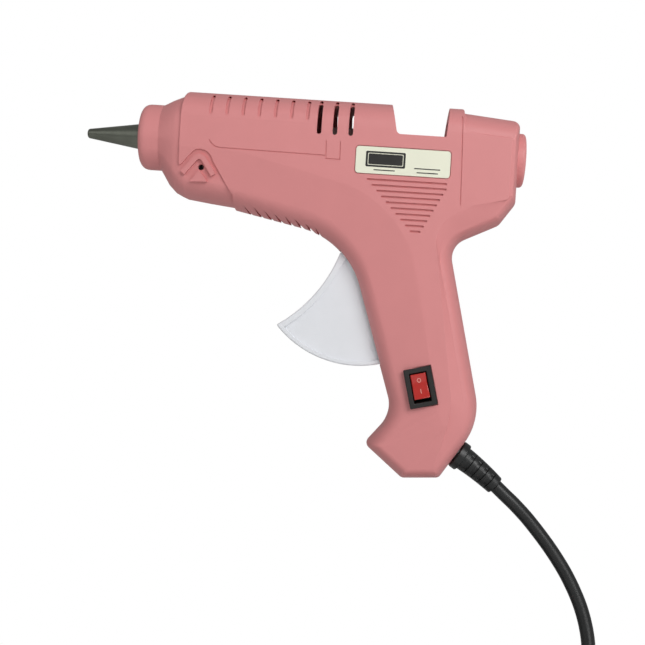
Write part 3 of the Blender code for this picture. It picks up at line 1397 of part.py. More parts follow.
def cord_inner():
    """The end of the lead inside the grip, its clamp bar and the bar's two screws."""
    start = -WALL - SEAT_GAP * 2 - RELIEF_COLLAR_THICK
    end = -CLAMP_BACK - CLAMP_WIDE
    points = [EXIT_FRAME @ Vector((start + (end - start) * k / 4, 0, 0)) for k in range(5)]
    finish(tube("cord_inner", points, CORD_DIAMETER / 2, 2), "cord_rubber")
    half_long = CLAMP_SPREAD + CLAMP_BOSS
    low = (-CLAMP_BACK - CLAMP_WIDE / 2, SEAT_GAP / 2, -half_long)
    bar = box("cord_clamp", low, (-CLAMP_BACK + CLAMP_WIDE / 2, CLAMP_BAR, half_long))
    groove = rod("clamp_groove", (-CLAMP_BACK * 2, 0, 0), (0, 0, 0), CORD_DIAMETER / 2 + SEAT_GAP, 20)
    cuts = [groove]
    for side in (-1, 1):
        z = side * CLAMP_SPREAD
        near, far = (-CLAMP_BACK, -OVERRUN, z), (-CLAMP_BACK, CLAMP_BAR + OVERRUN, z)
        cuts.append(rod("bar_hole", near, far, CLAMP_SCREW + SEAT_GAP, 12))
    finish(cut(bar, cuts), "feed_plastic", EXIT_FRAME)
    for side, name in ((-1, "clamp_screw_lower"), (1, "clamp_screw_upper")):
        seat = CLAMP_BAR + SEAT_GAP
        profile = [
            (-CLAMP_SCREW_BITE, CLAMP_SCREW),
            (seat, CLAMP_SCREW),
            (seat, CLAMP_HEAD),
            (seat + CLAMP_HEAD_THICK, CLAMP_HEAD),
        ]
        place = Matrix.Translation((-CLAMP_BACK, 0, side * CLAMP_SPREAD))
        finish(turned(name, profile, 12), "steel", EXIT_FRAME @ place @ Matrix.Rotation(math.pi / 2, 4, "Z"))


def leads():
    """The three thin leads: to the switch, and up to the heater's two plates."""
    half = LEAD_RADIUS
    start = EXIT_FRAME @ Vector((-CLAMP_BACK - CLAMP_WIDE - SEAT_GAP * 2, 0, 0))
    lower = SWITCH_FRAME @ Vector((0, SWITCH_BODY_DEPTH + BLADE_LENGTH + SEAT_GAP * 2, -BLADE_SPREAD))
    upper = SWITCH_FRAME @ Vector((0, SWITCH_BODY_DEPTH + BLADE_LENGTH + SEAT_GAP * 2, BLADE_SPREAD))
    side = Vector((0, half * 1.5, 0))
    away = Vector((-half * 2, 0, half * 2))
    live = [start - side, start - side + away, *LIVE_ROUTE, lower + side * 2, lower]
    tab = -HEATER_FRONT + HEATER_LENGTH + SEAT_GAP * 2
    plate = -POCKET_TOP - SEAT_GAP - PLATE_THICK / 2
    ends = []
    low_plate = plate - pocket_size() + PLATE_THICK + SEAT_GAP * 2
    for back, drop in ((tab, plate), (tab + PLATE_TAB, low_plate)):
        ends.append(BARREL_FRAME @ Vector((back, HEATER_WIDTH / 4, drop)))
    switched = [upper, upper + side * 2, *SWITCHED_ROUTE, ends[0]]
    neutral = [start + side, start + side + away, *NEUTRAL_ROUTE, ends[1]]
    for name, route, count in (
        ("lead_live", live, 14),
        ("lead_switched", switched, 32),
        ("lead_neutral", neutral, 32),
    ):
        finish(tube(name, smooth_path(route, count), half, 1), "lead_cover")


# Routes chosen by hand: the leads inside, then the mains lead from its strain relief to the coil, and
# from the coil to the plug.
LIVE_ROUTE = [(0.0050, 0.0030, -0.0365), (0.0052, 0.0068, -0.0330)]
SWITCHED_ROUTE = [
    (0.0042, 0.0088, -0.0190),
    (0.0052, 0.0100, -0.0080),
    (0.0036, 0.0104, 0.0060),
    (0.0010, 0.0104, 0.0200),
    (0.0015, 0.0095, 0.0340),
    (0.0005, 0.0088, 0.0425),
    (-0.0060, 0.0092, 0.0482),
    (-0.0200, 0.0100, 0.0507),
    (-0.0400, 0.0104, 0.0518),
    (-0.0580, 0.0100, 0.0528),
    (-0.0635, 0.0085, 0.0560),
]
NEUTRAL_ROUTE = [
    (0.0070, 0.0050, -0.0365),
    (0.0100, 0.0095, -0.0260),
    (0.0100, 0.0104, -0.0100),
    (0.0075, 0.0104, 0.0060),
    (0.0045, 0.0104, 0.0200),
    (0.0053, 0.0108, 0.0310),
    (0.0038, 0.0116, 0.0388),
    (-0.0050, 0.0114, 0.0441),
    (-0.0180, 0.0104, 0.0464),
    (-0.0320, 0.0100, 0.0474),
    (-0.0500, 0.0080, 0.0485),
    (-0.0610, 0.0050, 0.0520),
]
CORD_ROUTE = [
    (0.0396, 0.0, -0.0730),
    (0.0455, 0.0, -0.0797),
    (0.0536, -0.0006, -0.0906),
    (0.0602, -0.0018, -0.1018),
    (0.0650, -0.0038, -0.1140),
    (0.0668, -0.0068, -0.1265),
    (0.0648, -0.0105, -0.1383),
    (0.0590, -0.0155, -0.1470),
]
PLUG_ROUTE = [
    (-0.0080, -0.0377, -0.1496),
    (-0.0190, -0.0377, -0.1508),
    (-0.0290, -0.0377, -0.1496),
]


def coil_base():
    """The height of the middle of the coil's lower layer."""
    return -SURFACE_DROP + TIE_THICK + TIE_GAP + CORD_DIAMETER / 2


def coil_points():
    """The coil: a layer that spirals in on the surface, a half turn up, and a layer that spirals out."""
    turned_by = COIL_ENTRY - COIL_EXIT
    middle = turned_by / 2
    count = round(turned_by / math.tau * COIL_POINTS)
    points = []
    for k in range(count + 1):
        done = turned_by * k / count
        inward = middle - math.hypot(done - middle, COIL_EASE)
        radius = COIL_OUTER - COIL_STEP * inward / math.tau
        climb = min(max((done - middle) / math.pi + 1 / 2, 0), 1)
        climb = (1 - math.cos(math.pi * climb)) / 2
        angle = COIL_ENTRY - done
        x, y = COIL_X + radius * math.cos(angle), radius * math.sin(angle)
        points.append(Vector((x, y, coil_base() + COIL_LAYER * climb)))
    first = (points[0] - points[1]).normalized() * CORD_DIAMETER
    last = (points[-1] - points[-2]).normalized() * CORD_DIAMETER
    return [points[0] + first, *points, points[-1] + last]


def least_gap(points):
    """The least gap between stretches of one lead that aren't neighbours along it."""
    places = np.array([tuple(p) for p in points])
    fine = np.concatenate([places[:-1] + (places[1:] - places[:-1]) * k / 4 for k in range(4)], axis=1)
    fine = fine.reshape(-1, 3)
    steps = np.linalg.norm(np.diff(fine, axis=0), axis=1)
    run = np.concatenate([[0], np.cumsum(steps)])
    apart = np.linalg.norm(fine[:, None] - fine[None], axis=2)
    apart[np.abs(run[:, None] - run[None]) < CORD_DIAMETER * 4] = np.inf
    return apart.min() - CORD_DIAMETER


def power_cord():
    """The mains lead: its free stretch, its coil, the stretch to the plug and the tie."""
    coil = coil_points()
    print("least gap of the coil to itself, mm:", round(least_gap(coil) * MILLIMETRES, 3))
    finish(tube("power_cord_coil", coil, CORD_DIAMETER / 2, 1), "cord_rubber")
    entry = coil[0] + (coil[0] - coil[1]).normalized() * SEAT_GAP
    lead_in = entry + (coil[0] - coil[1]).normalized() * CORD_DIAMETER
    leaving = relief_frame(RELIEF_LENGTH)
    starts = [leaving @ Vector((out, 0, 0)) for out in (SEAT_GAP, CORD_DIAMETER)]
    free = smooth_path([*starts, *CORD_ROUTE, lead_in, entry], CORD_POINTS)
    finish(tube("power_cord", free, CORD_DIAMETER / 2, 2), "cord_rubber")
    ahead = (coil[-1] - coil[-2]).normalized()
    start = coil[-1] + ahead * SEAT_GAP
    plug = plug_place() + Vector((SEAT_GAP, 0, 0))
    into_plug = plug + Vector((CORD_DIAMETER, 0, 0))
    end = smooth_path([start, start + ahead * CORD_DIAMETER, *PLUG_ROUTE, into_plug, plug], END_POINTS)
    finish(tube("power_cord_end", end, CORD_DIAMETER / 2, 2), "cord_rubber")
    print("whole lead, m:", round(measure(free) + measure(coil) + measure(end), 3))


def measure(points):
    """The length of a line through points."""
    return sum((Vector(b) - Vector(a)).length for a, b in zip(points, points[1:]))


def cord_tie():
    """The flat tie round the coil, on its far side."""
    reach = CORD_DIAMETER / 2 + TIE_GAP
    radii = [p.y for p in coil_points() if abs(p.x - COIL_X) < CORD_DIAMETER and p.y > 0]
    near, far = min(radii) - reach, max(radii) + reach
    low, high = coil_base() - reach, coil_base() + COIL_LAYER + reach
    loops = []
    for out in (0, TIE_THICK):
        left, right, foot, top = near - out, far + out, low - out, high + out
        corners = [(left, top), (right, top), (right, foot), (left, foot)]
        loops.append(rounded([(y, z, TIE_THICK + out, 2) for y, z in corners]))
    bm = bmesh.new()
    rows = []
    for loop, side in ((loops[0], -1), (loops[1], -1), (loops[1], 1), (loops[0], 1)):
        rows.append([bm.verts.new((COIL_X + side * TIE_WIDTH / 2, y, z)) for y, z in loop])
    for one, two in zip(rows, rows[1:] + rows[:1]):
        for i in range(len(one)):
            j = (i + 1) % len(one)
            bm.faces.new((one[i], one[j], two[j], two[i]))
    finish(body("cord_tie", bm), "black_plastic")


def plug_place():
    """Where the lead enters the plug."""
    return Vector((COIL_X - PLUG_REACH, -COIL_OUTER, -SURFACE_DROP + PLUG_THICK / 2))


# The plug's sections from the lead to the face: share of its length, width and thickness.
PLUG_SHARES = [
    (0.0, 0.34, 0.66),
    (0.10, 0.42, 0.80),
    (0.30, 0.62, 0.92),
    (0.55, 0.94, 1.0),
    (0.62, 1.0, 1.0),
    (1.0, 1.0, 1.0),
]


def plug():
    """The plug's body and its two pins, which lie beside the coil."""
    place = plug_place()
    rings = []
    for along_share, width_share, thick_share in PLUG_SHARES:
        ring = []
        for k in range(16):
            angle = math.tau * k / 16
            c, s = math.cos(angle), math.sin(angle)
            y = math.copysign(abs(c) ** 0.6, c) * width_share * PLUG_WIDTH / 2
            z = math.copysign(abs(s) ** 0.6, s) * thick_share * PLUG_THICK / 2
            ring.append((place.x - along_share * PLUG_LENGTH, place.y + y, place.z + z))
        rings.append(ring)
    finish(rings_body("plug_body", rings), "black_plastic")
    for side, name in ((-1, "plug_pin_near"), (1, "plug_pin_far")):
        start = place + Vector((-PLUG_LENGTH - SEAT_GAP, side * PLUG_PIN_SPACING / 2, 0))
        pin = rod(name, start, start - Vector((PLUG_PIN_LENGTH, 0, 0)), PLUG_PIN_RADIUS, 14)
        finish(pin, "brass")


# The whole gun


def build():
    """Clears the scene and makes every piece."""
    for old in list(bpy.data.objects):
        bpy.data.objects.remove(old)
    shells()
    nozzle()
    melt_chamber()
    front_washer()
    heater()
    heater_clip()
    inlet_sleeve()
    carriage, jaw, links = feed_carriage(), grip_jaw(), feed_links()
    carriage_pin, arm_pin = feed_pins()
    carriage_place = BARREL_FRAME @ Vector((carriage_pin_place()[0], 0, carriage_pin_place()[1]))
    arm_place = BARREL_FRAME @ Vector((-ARM_PIN_BACK, 0, -ARM_PIN_DROP))
    hang("feed_slide", carriage_place, [carriage, carriage_pin])
    hang("jaw_pivot", carriage_place, [jaw])
    hang("link_pivot", arm_place, links)
    hang("trigger_pivot", Vector((HINGE_X, 0, HINGE_Z)), [trigger(), arm_pin])
    trigger_pin()
    return_spring()
    switch_housing()
    hang("rocker_pivot", SWITCH_FRAME @ Vector((0, ROCKER_PIVOT, 0)), [switch_rocker()])
    switch_terminals()
    label_plate()
    shell_screws()
    strain_relief()
    cord_inner()
    leads()
    power_cord()
    cord_tie()
    plug()


build()
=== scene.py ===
"""Looks of a hot glue gun: its surfaces, its lead and its light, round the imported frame.

Metres, in the frame's own axes: X runs back along the gun, Y away from the label side, Z up. The
barrel's own frame has its axis along X through AXIS_HEIGHT and leans by BARREL_TILT; places in it are
given as u along the axis and v above it.
"""

import math

import bmesh
import bpy
from mathutils import Matrix, Vector

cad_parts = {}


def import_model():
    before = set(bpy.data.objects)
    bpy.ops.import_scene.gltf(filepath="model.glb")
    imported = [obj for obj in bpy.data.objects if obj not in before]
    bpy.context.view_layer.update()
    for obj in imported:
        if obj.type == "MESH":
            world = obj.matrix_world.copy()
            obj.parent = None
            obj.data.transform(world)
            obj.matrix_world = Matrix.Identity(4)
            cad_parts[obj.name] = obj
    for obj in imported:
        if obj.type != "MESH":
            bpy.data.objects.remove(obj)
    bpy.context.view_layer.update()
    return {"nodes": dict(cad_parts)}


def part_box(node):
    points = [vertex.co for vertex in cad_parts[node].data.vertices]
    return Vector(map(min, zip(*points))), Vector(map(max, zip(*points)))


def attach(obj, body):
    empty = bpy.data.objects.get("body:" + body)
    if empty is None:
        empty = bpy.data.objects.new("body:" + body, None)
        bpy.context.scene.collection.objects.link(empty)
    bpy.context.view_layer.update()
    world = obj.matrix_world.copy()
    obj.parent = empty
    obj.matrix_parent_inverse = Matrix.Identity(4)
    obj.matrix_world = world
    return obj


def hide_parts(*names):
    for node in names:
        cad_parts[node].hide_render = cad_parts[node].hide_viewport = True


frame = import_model()
NODES = frame["nodes"]

# The gun's main sizes
BARREL_TILT = math.radians(3.65)
AXIS_HEIGHT = 0.0650
BARREL_REACH = 0.0894
REAR_REACH = 0.0400
BARREL_TOP = 0.0184
BELLY_DEPTH = 0.0266
HALF_WIDTH = 0.0170
SHOULDER = 0.87
COLLAR_RADIUS = 0.01275
CONE_REACH = 0.0985
COLLAR_REACH = 0.1069
GRIP_DROP = 0.06145
GRIP_DEPTH = 0.0330
GRIP_HALF_WIDTH = 0.0156
WALL = 0.0022
SEAM_GAP = 0.0003
OVERRUN = 0.0040
BARREL_FRAME = Matrix.Translation((0, 0, AXIS_HEIGHT)) @ Matrix.Rotation(BARREL_TILT, 4, "Y")

# The photograph's scale in the seam plane, and where the view's axis meets it
EYE = Vector((-0.0106, -0.4500, 0.00784))
PIXELS = 645
PIXELS_PER_METRE = 2550
AXIS_PX = (388, 300)
SENSOR = 36.0

# Colours of the surfaces, linear
PINK = (0.730, 0.275, 0.275)
WHITE = (0.845, 0.865, 0.90)
BLACK = (0.014, 0.013, 0.012)
RED = (0.52, 0.022, 0.016)
MARK = (0.86, 0.42, 0.36)
CREAM = (0.895, 0.90, 0.73)
PRINT = (0.018, 0.018, 0.016)
NOZZLE = (0.20, 0.21, 0.175)
CORD = (0.011, 0.012, 0.012)


# Camera and light

# What the lamps look at, and each lamp's place, size and power
LAMP_TARGET = Vector((-0.02, 0, 0.01))
LAMPS = {
    "key": ((0.55, -0.95, 0.55), 0.7, 8.6),
    "fill": ((-0.9, -0.8, 0.5), 0.8, 1.2),
}
WORLD_STRENGTH = 0.30
FLOOR_SIZE = 6.0
FLOOR_GREY = (0.85, 0.85, 0.85, 1)
WHITE_LIGHT = (1, 1, 1, 1)


def added(name, data):
    """A new object in the scene."""
    made = bpy.data.objects.new(name, data)
    bpy.context.scene.collection.objects.link(made)
    return made


def camera():
    """The photograph's view along +Y, shifted so that its axis meets the picture where it should."""
    data = bpy.data.cameras.new("camera")
    data.sensor_width = SENSOR
    data.lens = SENSOR * PIXELS_PER_METRE * -EYE.y / PIXELS
    data.shift_x = (PIXELS / 2 - AXIS_PX[0]) / PIXELS
    data.shift_y = (AXIS_PX[1] - PIXELS / 2) / PIXELS
    made = added("camera", data)
    made.location = EYE
    made.rotation_euler = (math.pi / 2, 0, 0)
    bpy.context.scene.camera = made


def lamp(name, place, size, power):
    """A soft square lamp that looks at the gun."""
    data = bpy.data.lights.new(name, "AREA")
    data.size = size
    data.energy = power
    made = added(name, data)
    made.location = place
    made.rotation_euler = (LAMP_TARGET - made.location).to_track_quat("-Z", "Y").to_euler()


def white_to_camera(tree, lit, white, out):
    """Links a tree so that one shader lights the gun and the camera sees a white one."""
    path = tree.nodes.new("ShaderNodeLightPath")
    mix = tree.nodes.new("ShaderNodeMixShader")
    tree.links.new(path.outputs["Is Camera Ray"], mix.inputs[0])
    tree.links.new(lit.outputs[0], mix.inputs[1])
    tree.links.new(white.outputs[0], mix.inputs[2])
    tree.links.new(mix.outputs[0], out.inputs[0])


def world():
    """Soft even light all round."""
    made = bpy.data.worlds.new("world")
    made.use_nodes = True
    tree = made.node_tree
    tree.nodes.clear()
    light = tree.nodes.new("ShaderNodeBackground")
    light.inputs["Strength"].default_value = WORLD_STRENGTH
    white = tree.nodes.new("ShaderNodeBackground")
    for shader in (light, white):
        shader.inputs["Color"].default_value = WHITE_LIGHT
    white_to_camera(tree, light, white, tree.nodes.new("ShaderNodeOutputWorld"))
    bpy.context.scene.world = made


def floor():
    """A pale floor under the coil, which lights the gun from below."""
    size, height = FLOOR_SIZE, SURFACE
    mesh = bpy.data.meshes.new("floor")
    corners = [(-size, -size, height), (size, -size, height), (size, size, height), (-size, size, height)]
    mesh.from_pydata(corners, [], [(0, 1, 2, 3)])
    made = added("floor", mesh)
    surface = bpy.data.materials.new("floor")
    surface.use_nodes = True
    tree = surface.node_tree
    tree.nodes.clear()
    soft = tree.nodes.new("ShaderNodeBsdfDiffuse")
    soft.inputs["Color"].default_value = FLOOR_GREY
    white = tree.nodes.new("ShaderNodeEmission")
    white_to_camera(tree, soft, white, tree.nodes.new("ShaderNodeOutputMaterial"))
    mesh.materials.append(surface)


# Materials

# Where a noise's own values mostly lie, the scales of a surface's mottle and gloss, and the gloss's spread
NOISE_LOW, NOISE_HIGH = 0.3, 0.7
MOTTLE_SCALE, GLOSS_SCALE = 90, 260
GLOSS_SPREAD = 0.12


def noise(tree, scale, detail=2.0, stretch=(1, 1, 1)):
    """A noise over the object's own coordinates."""
    coordinates = tree.nodes.new("ShaderNodeTexCoord")
    mapping = tree.nodes.new("ShaderNodeMapping")
    mapping.inputs["Scale"].default_value = stretch
    made = tree.nodes.new("ShaderNodeTexNoise")
    made.inputs["Scale"].default_value = scale
    made.inputs["Detail"].default_value = detail
    tree.links.new(coordinates.outputs["Object"], mapping.inputs["Vector"])
    tree.links.new(mapping.outputs["Vector"], made.inputs["Vector"])
    return made.outputs["Fac"]


def spread_of(tree, factor, low, high):
    """A factor spread between two numbers."""
    made = tree.nodes.new("ShaderNodeMapRange")
    made.inputs["From Min"].default_value = NOISE_LOW
    made.inputs["From Max"].default_value = NOISE_HIGH
    made.inputs["To Min"].default_value = low
    made.inputs["To Max"].default_value = high
    tree.links.new(factor, made.inputs["Value"])
    return made.outputs["Result"]


def material(
    name, colour, rough, mottle=0.03, metallic=0.0, grain=2400, depth=0.00001, stretch=(1, 1, 1), **uniform
):
    """A procedural surface: mottled colour, uneven gloss, a fine grain, and uniform shader numbers."""
    made = bpy.data.materials.new(name)
    made.use_nodes = True
    tree = made.node_tree
    shader = tree.nodes["Principled BSDF"]
    shader.inputs["Metallic"].default_value = metallic
    for socket, value in uniform.items():
        shader.inputs[socket.replace("_", " ")].default_value = value
    mix = tree.nodes.new("ShaderNodeMix")
    mix.data_type = "RGBA"
    mix.inputs["A"].default_value = (*(c * (1 - mottle) for c in colour), 1)
    mix.inputs["B"].default_value = (*(min(c * (1 + mottle), 1) for c in colour), 1)
    tree.links.new(spread_of(tree, noise(tree, MOTTLE_SCALE, 3), 0, 1), mix.inputs["Factor"])
    tree.links.new(mix.outputs["Result"], shader.inputs["Base Color"])
    gloss = noise(tree, GLOSS_SCALE, 3, stretch)
    gloss = spread_of(tree, gloss, rough * (1 - GLOSS_SPREAD), rough * (1 + GLOSS_SPREAD))
    tree.links.new(gloss, shader.inputs["Roughness"])
    bump = tree.nodes.new("ShaderNodeBump")
    bump.inputs["Distance"].default_value = depth
    tree.links.new(noise(tree, grain, 2, stretch), bump.inputs["Height"])
    tree.links.new(bump.outputs["Normal"], shader.inputs["Normal"])
    made.diffuse_color = (*colour, 1)
    return made


def materials():
    """All the gun's materials, under the record's slot names and a few of the scene's own."""
    return {
        "pink_plastic": material("pink_plastic", PINK, 0.47, 0.012, Specular_IOR_Level=0.42),
        "white_plastic": material("white_plastic", WHITE, 0.34, 0.012),
        "black_plastic": material("black_plastic", BLACK, 0.42, 0.10),
        "red_plastic": material("red_plastic", RED, 0.24, 0.04, depth=0.000003, Coat_Weight=0.3),
        "red_mark": material("red_mark", MARK, 0.40, 0.03),
        "label_plastic": material("label_plastic", CREAM, 0.36, 0.012, grain=900, depth=0.000004),
        "label_print": material("label_print", PRINT, 0.40, 0.08, grain=900, depth=0.000004),
        "nozzle_metal": material("nozzle_metal", NOZZLE, 0.34, 0.18, 1.0, 700, 0.00003, (3, 1, 1)),
        "cast_metal": material("cast_metal", (0.55, 0.55, 0.54), 0.46, 0.08, 1.0, 1300, 0.00004),
        "steel": material("steel", (0.58, 0.58, 0.58), 0.30, 0.05, 1.0, 1800, 0.000006),
        "brass": material("brass", (0.72, 0.52, 0.22), 0.30, 0.06, 1.0, 1800, 0.000006),
        "ceramic": material("ceramic", (0.80, 0.78, 0.72), 0.55, 0.04, depth=0.00002),
        "silicone": material("silicone", (0.50, 0.09, 0.05), 0.60, 0.06, depth=0.00002),
        "feed_plastic": material("feed_plastic", (0.74, 0.74, 0.70), 0.45, 0.03),
        "lead_cover": material("lead_cover", (0.70, 0.67, 0.60), 0.50, 0.04),
        "cord_rubber": material("cord_rubber", CORD, 0.36, 0.12, grain=1600, depth=0.00002),
    }


# Objects

# Faces that lean less than this against each other are one flat face, in degrees.
FLAT_ANGLE = 0.2


def body(name, bm):
    """An object from a closed bmesh, with its faces turned outwards."""
    bmesh.ops.recalc_face_normals(bm, faces=bm.faces)
    mesh = bpy.data.meshes.new(name)
    bm.to_mesh(mesh)
    bm.free()
    return added(name, mesh)


def settle(made):
    """Turns a body's modifiers into its mesh."""
    bpy.context.view_layer.update()
    graph = bpy.context.evaluated_depsgraph_get()
    result = bpy.data.meshes.new_from_object(made.evaluated_get(graph))
    made.modifiers.clear()
    made.data = result


def combine(made, others, operation):
    """Joins or cuts a body with others, which are used up."""
    for other in others:
        step = made.modifiers.new(operation, "BOOLEAN")
        step.operation = operation
        step.solver = "MANIFOLD"
        step.object = other
        settle(made)
        bpy.data.objects.remove(other)
    return made


def join(made, others):
    """The union of a body and others."""
    return combine(made, others, "UNION")


def cut(made, others):
    """A body less the others."""
    return combine(made, others, "DIFFERENCE")


def keep(made, other):
    """What a body shares with another."""
    return combine(made, [other], "INTERSECT")


def bevel(made, width, segments=3, angle=35):
    """Rounds a body's sharp edges."""
    step = made.modifiers.new("edges", "BEVEL")
    step.width = width
    step.segments = segments
    step.limit_method = "ANGLE"
    step.angle_limit = math.radians(angle)


def tidy_mesh(made, distance=0.000004):
    """Clears the slivers that cuts leave on flat faces."""
    bm = bmesh.new()
    bm.from_mesh(made.data)
    bmesh.ops.remove_doubles(bm, verts=bm.verts, dist=distance)
    bmesh.ops.dissolve_degenerate(bm, edges=bm.edges, dist=distance)
    bmesh.ops.dissolve_limit(bm, angle_limit=math.radians(FLAT_ANGLE), verts=bm.verts, edges=bm.edges)
    bm.to_mesh(made.data)
    bm.free()


def dress(made, kind, owner="chassis", nodes=(), place=None, smooth=30):
    """Gives a piece its material and soft shading, and says what it rides on and stands for."""
    made.data.materials.clear()
    made.data.materials.append(SURFACES[kind])
    if place is not None:
        made.data.transform(place)
    if made.type == "MESH":
        made.data.shade_smooth()
        made.data.set_sharp_from_angle(angle=math.radians(smooth))
        step = made.modifiers.new("normals", "WEIGHTED_NORMAL")
        step.keep_sharp = True
    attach(made, owner)
    if nodes:
        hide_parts(*nodes)
    return made


# Solids


def add_rings(bm, rings, closed=False):
    """Faces through rings of equally many points, capped at both ends or closed on themselves."""
    rows = [[bm.verts.new(point) for point in ring] for ring in rings]
    for near, far in zip(rows, rows[1:] + rows[:1] if closed else rows[1:]):
        for i in range(len(near)):
            j = (i + 1) % len(near)
            bm.faces.new((near[i], near[j], far[j], far[i]))
    if not closed:
        bm.faces.new(rows[0])
        bm.faces.new(reversed(rows[-1]))


def rings_body(name, rings, closed=False):
    """A body through rings."""
    bm = bmesh.new()
    add_rings(bm, rings, closed)
    return body(name, bm)


def prisms(name, outlines, low, high):
    """Several flat outlines of x and z that don't touch, carried along Y as one body."""
    bm = bmesh.new()
    for outline in outlines:
        add_rings(bm, [[(x, y, z) for x, z in outline] for y in (low, high)])
    return body(name, bm)


def prism(name, outline, low, high):
    """A flat outline of x and z, carried along Y."""
    return prisms(name, [outline], low, high)


def box(name, low, high):
    """A box between two corners."""
    outline = [(low[0], low[2]), (high[0], low[2]), (high[0], high[2]), (low[0], high[2])]
    return prism(name, outline, low[1], high[1])


def frame_box(name, place, low, high):
    """A box in a frame of its own."""
    made = box(name, low, high)
    made.data.transform(place)
    return made


def rod(name, start, end, radius, sides=32):
    """A round rod between two points."""
    start = Vector(start)
    axis = Vector(end) - start
    turn = axis.to_track_quat("Z", "Y")
    spokes = [turn @ Vector((radius * math.cos(a), radius * math.sin(a), 0)) for a in angles(sides)]
    return rings_body(name, [[start + axis * k + spoke for spoke in spokes] for k in (0, 1)])


def angles(sides):
    """Even angles round a circle."""
    return [math.tau * i / sides for i in range(sides)]


def turned(name, profile, sides=96, closed=False):
    """A solid, or a closed ring, turned about X from places along it and their radii."""
    rings = [[(x, r * math.cos(a), r * math.sin(a)) for a in angles(sides)] for x, r in profile]
    return rings_body(name, rings, closed)


def quarter(steps=6, first=1):
    """Sines and cosines of even steps up to a right angle."""
    turns = [math.pi / 2 * k / steps for k in range(first, steps + 1)]
    return [(math.sin(a), math.cos(a)) for a in turns]


def circle(x, z, radius, points=48, start=0.0, end=math.tau):
    """Places on a circle or an arc of the seam plane."""
    closed = math.isclose(end - start, math.tau)
    steps = points if closed else points - 1
    turns = [start + (end - start) * k / steps for k in range(points)]
    return [(x + radius * math.cos(a), z + radius * math.sin(a)) for a in turns]


CURVE_PIECES = 20


def smooth_path(points, count):
    """Evenly spaced points on the smooth curve through the given ones."""
    knots = [Vector(p) for p in points]
    knots = [knots[0] * 2 - knots[1], *knots, knots[-1] * 2 - knots[-2]]
    fine = []
    for a, b, c, d in zip(knots, knots[1:], knots[2:], knots[3:]):
        square, cube = a * 2 - b * 5 + c * 4 - d, b * 3 - a - c * 3 + d
        for k in range(CURVE_PIECES):
            t = k / CURVE_PIECES
            fine.append((b * 2 + (c - a) * t + square * t**2 + cube * t**3) / 2)
    fine.append(knots[-2])
    run = [0.0]
    for a, b in zip(fine, fine[1:]):
        run.append(run[-1] + (b - a).length)
    even, spot = [], 0
    for k in range(count):
        place = run[-1] * k / (count - 1)
        while spot < len(run) - 2 and run[spot + 1] < place:
            spot += 1
        share = (place - run[spot]) / (run[spot + 1] - run[spot])
        even.append(fine[spot].lerp(fine[spot + 1], min(share, 1)))
    return even


# Outlines

# An arc takes a little less than half of a side, and a mitre's sharpest corner is held to a share.
ARC_ROOM = 2.05
MITRE_LEAST = 0.3


def rounded(corners):
    """An outline from corners (x, z, radius, steps), each turned into an arc, or kept sharp at 0 steps."""
    outline = []
    for i, (x, z, radius, steps) in enumerate(corners):
        if not steps:
            outline.append((x, z))
            continue
        here = Vector((x, z))
        back = Vector(corners[i - 1][:2]) - here
        ahead = Vector(corners[(i + 1) % len(corners)][:2]) - here
        half = back.angle(ahead) / 2
        room = min(back.length, ahead.length) / ARC_ROOM
        radius = min(radius, room * math.tan(half))
        centre = here + (back.normalized() + ahead.normalized()).normalized() * (radius / math.sin(half))
        spoke = here + back.normalized() * (radius / math.tan(half)) - centre
        turn = math.pi - 2 * half
        if back.x * ahead.y - back.y * ahead.x > 0:
            turn = -turn
        for k in range(steps + 1):
            outline.append(tuple(centre + Matrix.Rotation(turn * k / steps, 2) @ spoke))
    return outline


def inset(corners, depths):
    """Corners of a clockwise outline with each side moved in by its own depth."""
    moved = []
    for i, (x, z, radius, steps) in enumerate(corners):
        here = Vector((x, z))
        back = (here - Vector(corners[i - 1][:2])).normalized()
        ahead = (Vector(corners[(i + 1) % len(corners)][:2]) - here).normalized()
        inward = [Vector((side.y, -side.x)) for side in (back, ahead)]
        cross = back.x * ahead.y - back.y * ahead.x
        near = here + inward[0] * depths[i - 1]
        gap = here + inward[1] * depths[i] - near
        place = near + back * ((gap.x * ahead.y - gap.y * ahead.x) / cross)
        mean = (depths[i - 1] + depths[i]) / 2
        fillet = radius + mean if cross > 0 else max(radius - mean, SEAM_GAP)
        moved.append((place.x, place.y, fillet, steps))
    return moved


def between(first, second, share):
    """Corners part of the way from one outline to another."""
    return [
        (*(a + (b - a) * share for a, b in zip(one[:3], two[:3])), one[3])
        for one, two in zip(first, second)
    ]


def filled(corners, pieces):
    """A rounded outline whose straight sides have points along them too."""
    outline = rounded(corners)
    spread, spot = [], 0
    for corner in corners:
        count = corner[3] + 1
        spread += outline[spot : spot + count]
        spot += count
        last, following = Vector(outline[spot - 1]), Vector(outline[spot % len(outline)])
        spread += [tuple(last.lerp(following, k / pieces)) for k in range(1, pieces)]
    return spread


def stroke(points, half):
    """The outline of a line of some width through points, with mitred corners and flat ends."""
    knots = [Vector(p) for p in points]
    left, right = [], []
    for i, knot in enumerate(knots):
        back = (knot - knots[i - 1]).normalized() if i else (knots[1] - knot).normalized()
        ahead = (knots[i + 1] - knot).normalized() if i + 1 < len(knots) else back
        across = Vector((-back.y - ahead.y, back.x + ahead.x)).normalized()
        reach = half / max(across.dot(Vector((-back.y, back.x))), MITRE_LEAST)
        left.append(tuple(knot + across * reach))
        right.append(tuple(knot - across * reach))
    return left + right[::-1]


def slot_outline(start, end, half, steps=8):
    """The outline of a straight slot with round ends."""
    start, end = Vector(start), Vector(end)
    turn = math.atan2(end.y - start.y, end.x - start.x)
    outline = []
    for centre, first in ((start, turn + math.pi / 2), (end, turn - math.pi / 2)):
        outline += circle(centre.x, centre.y, half, steps + 1, first, first + math.pi)
    return outline


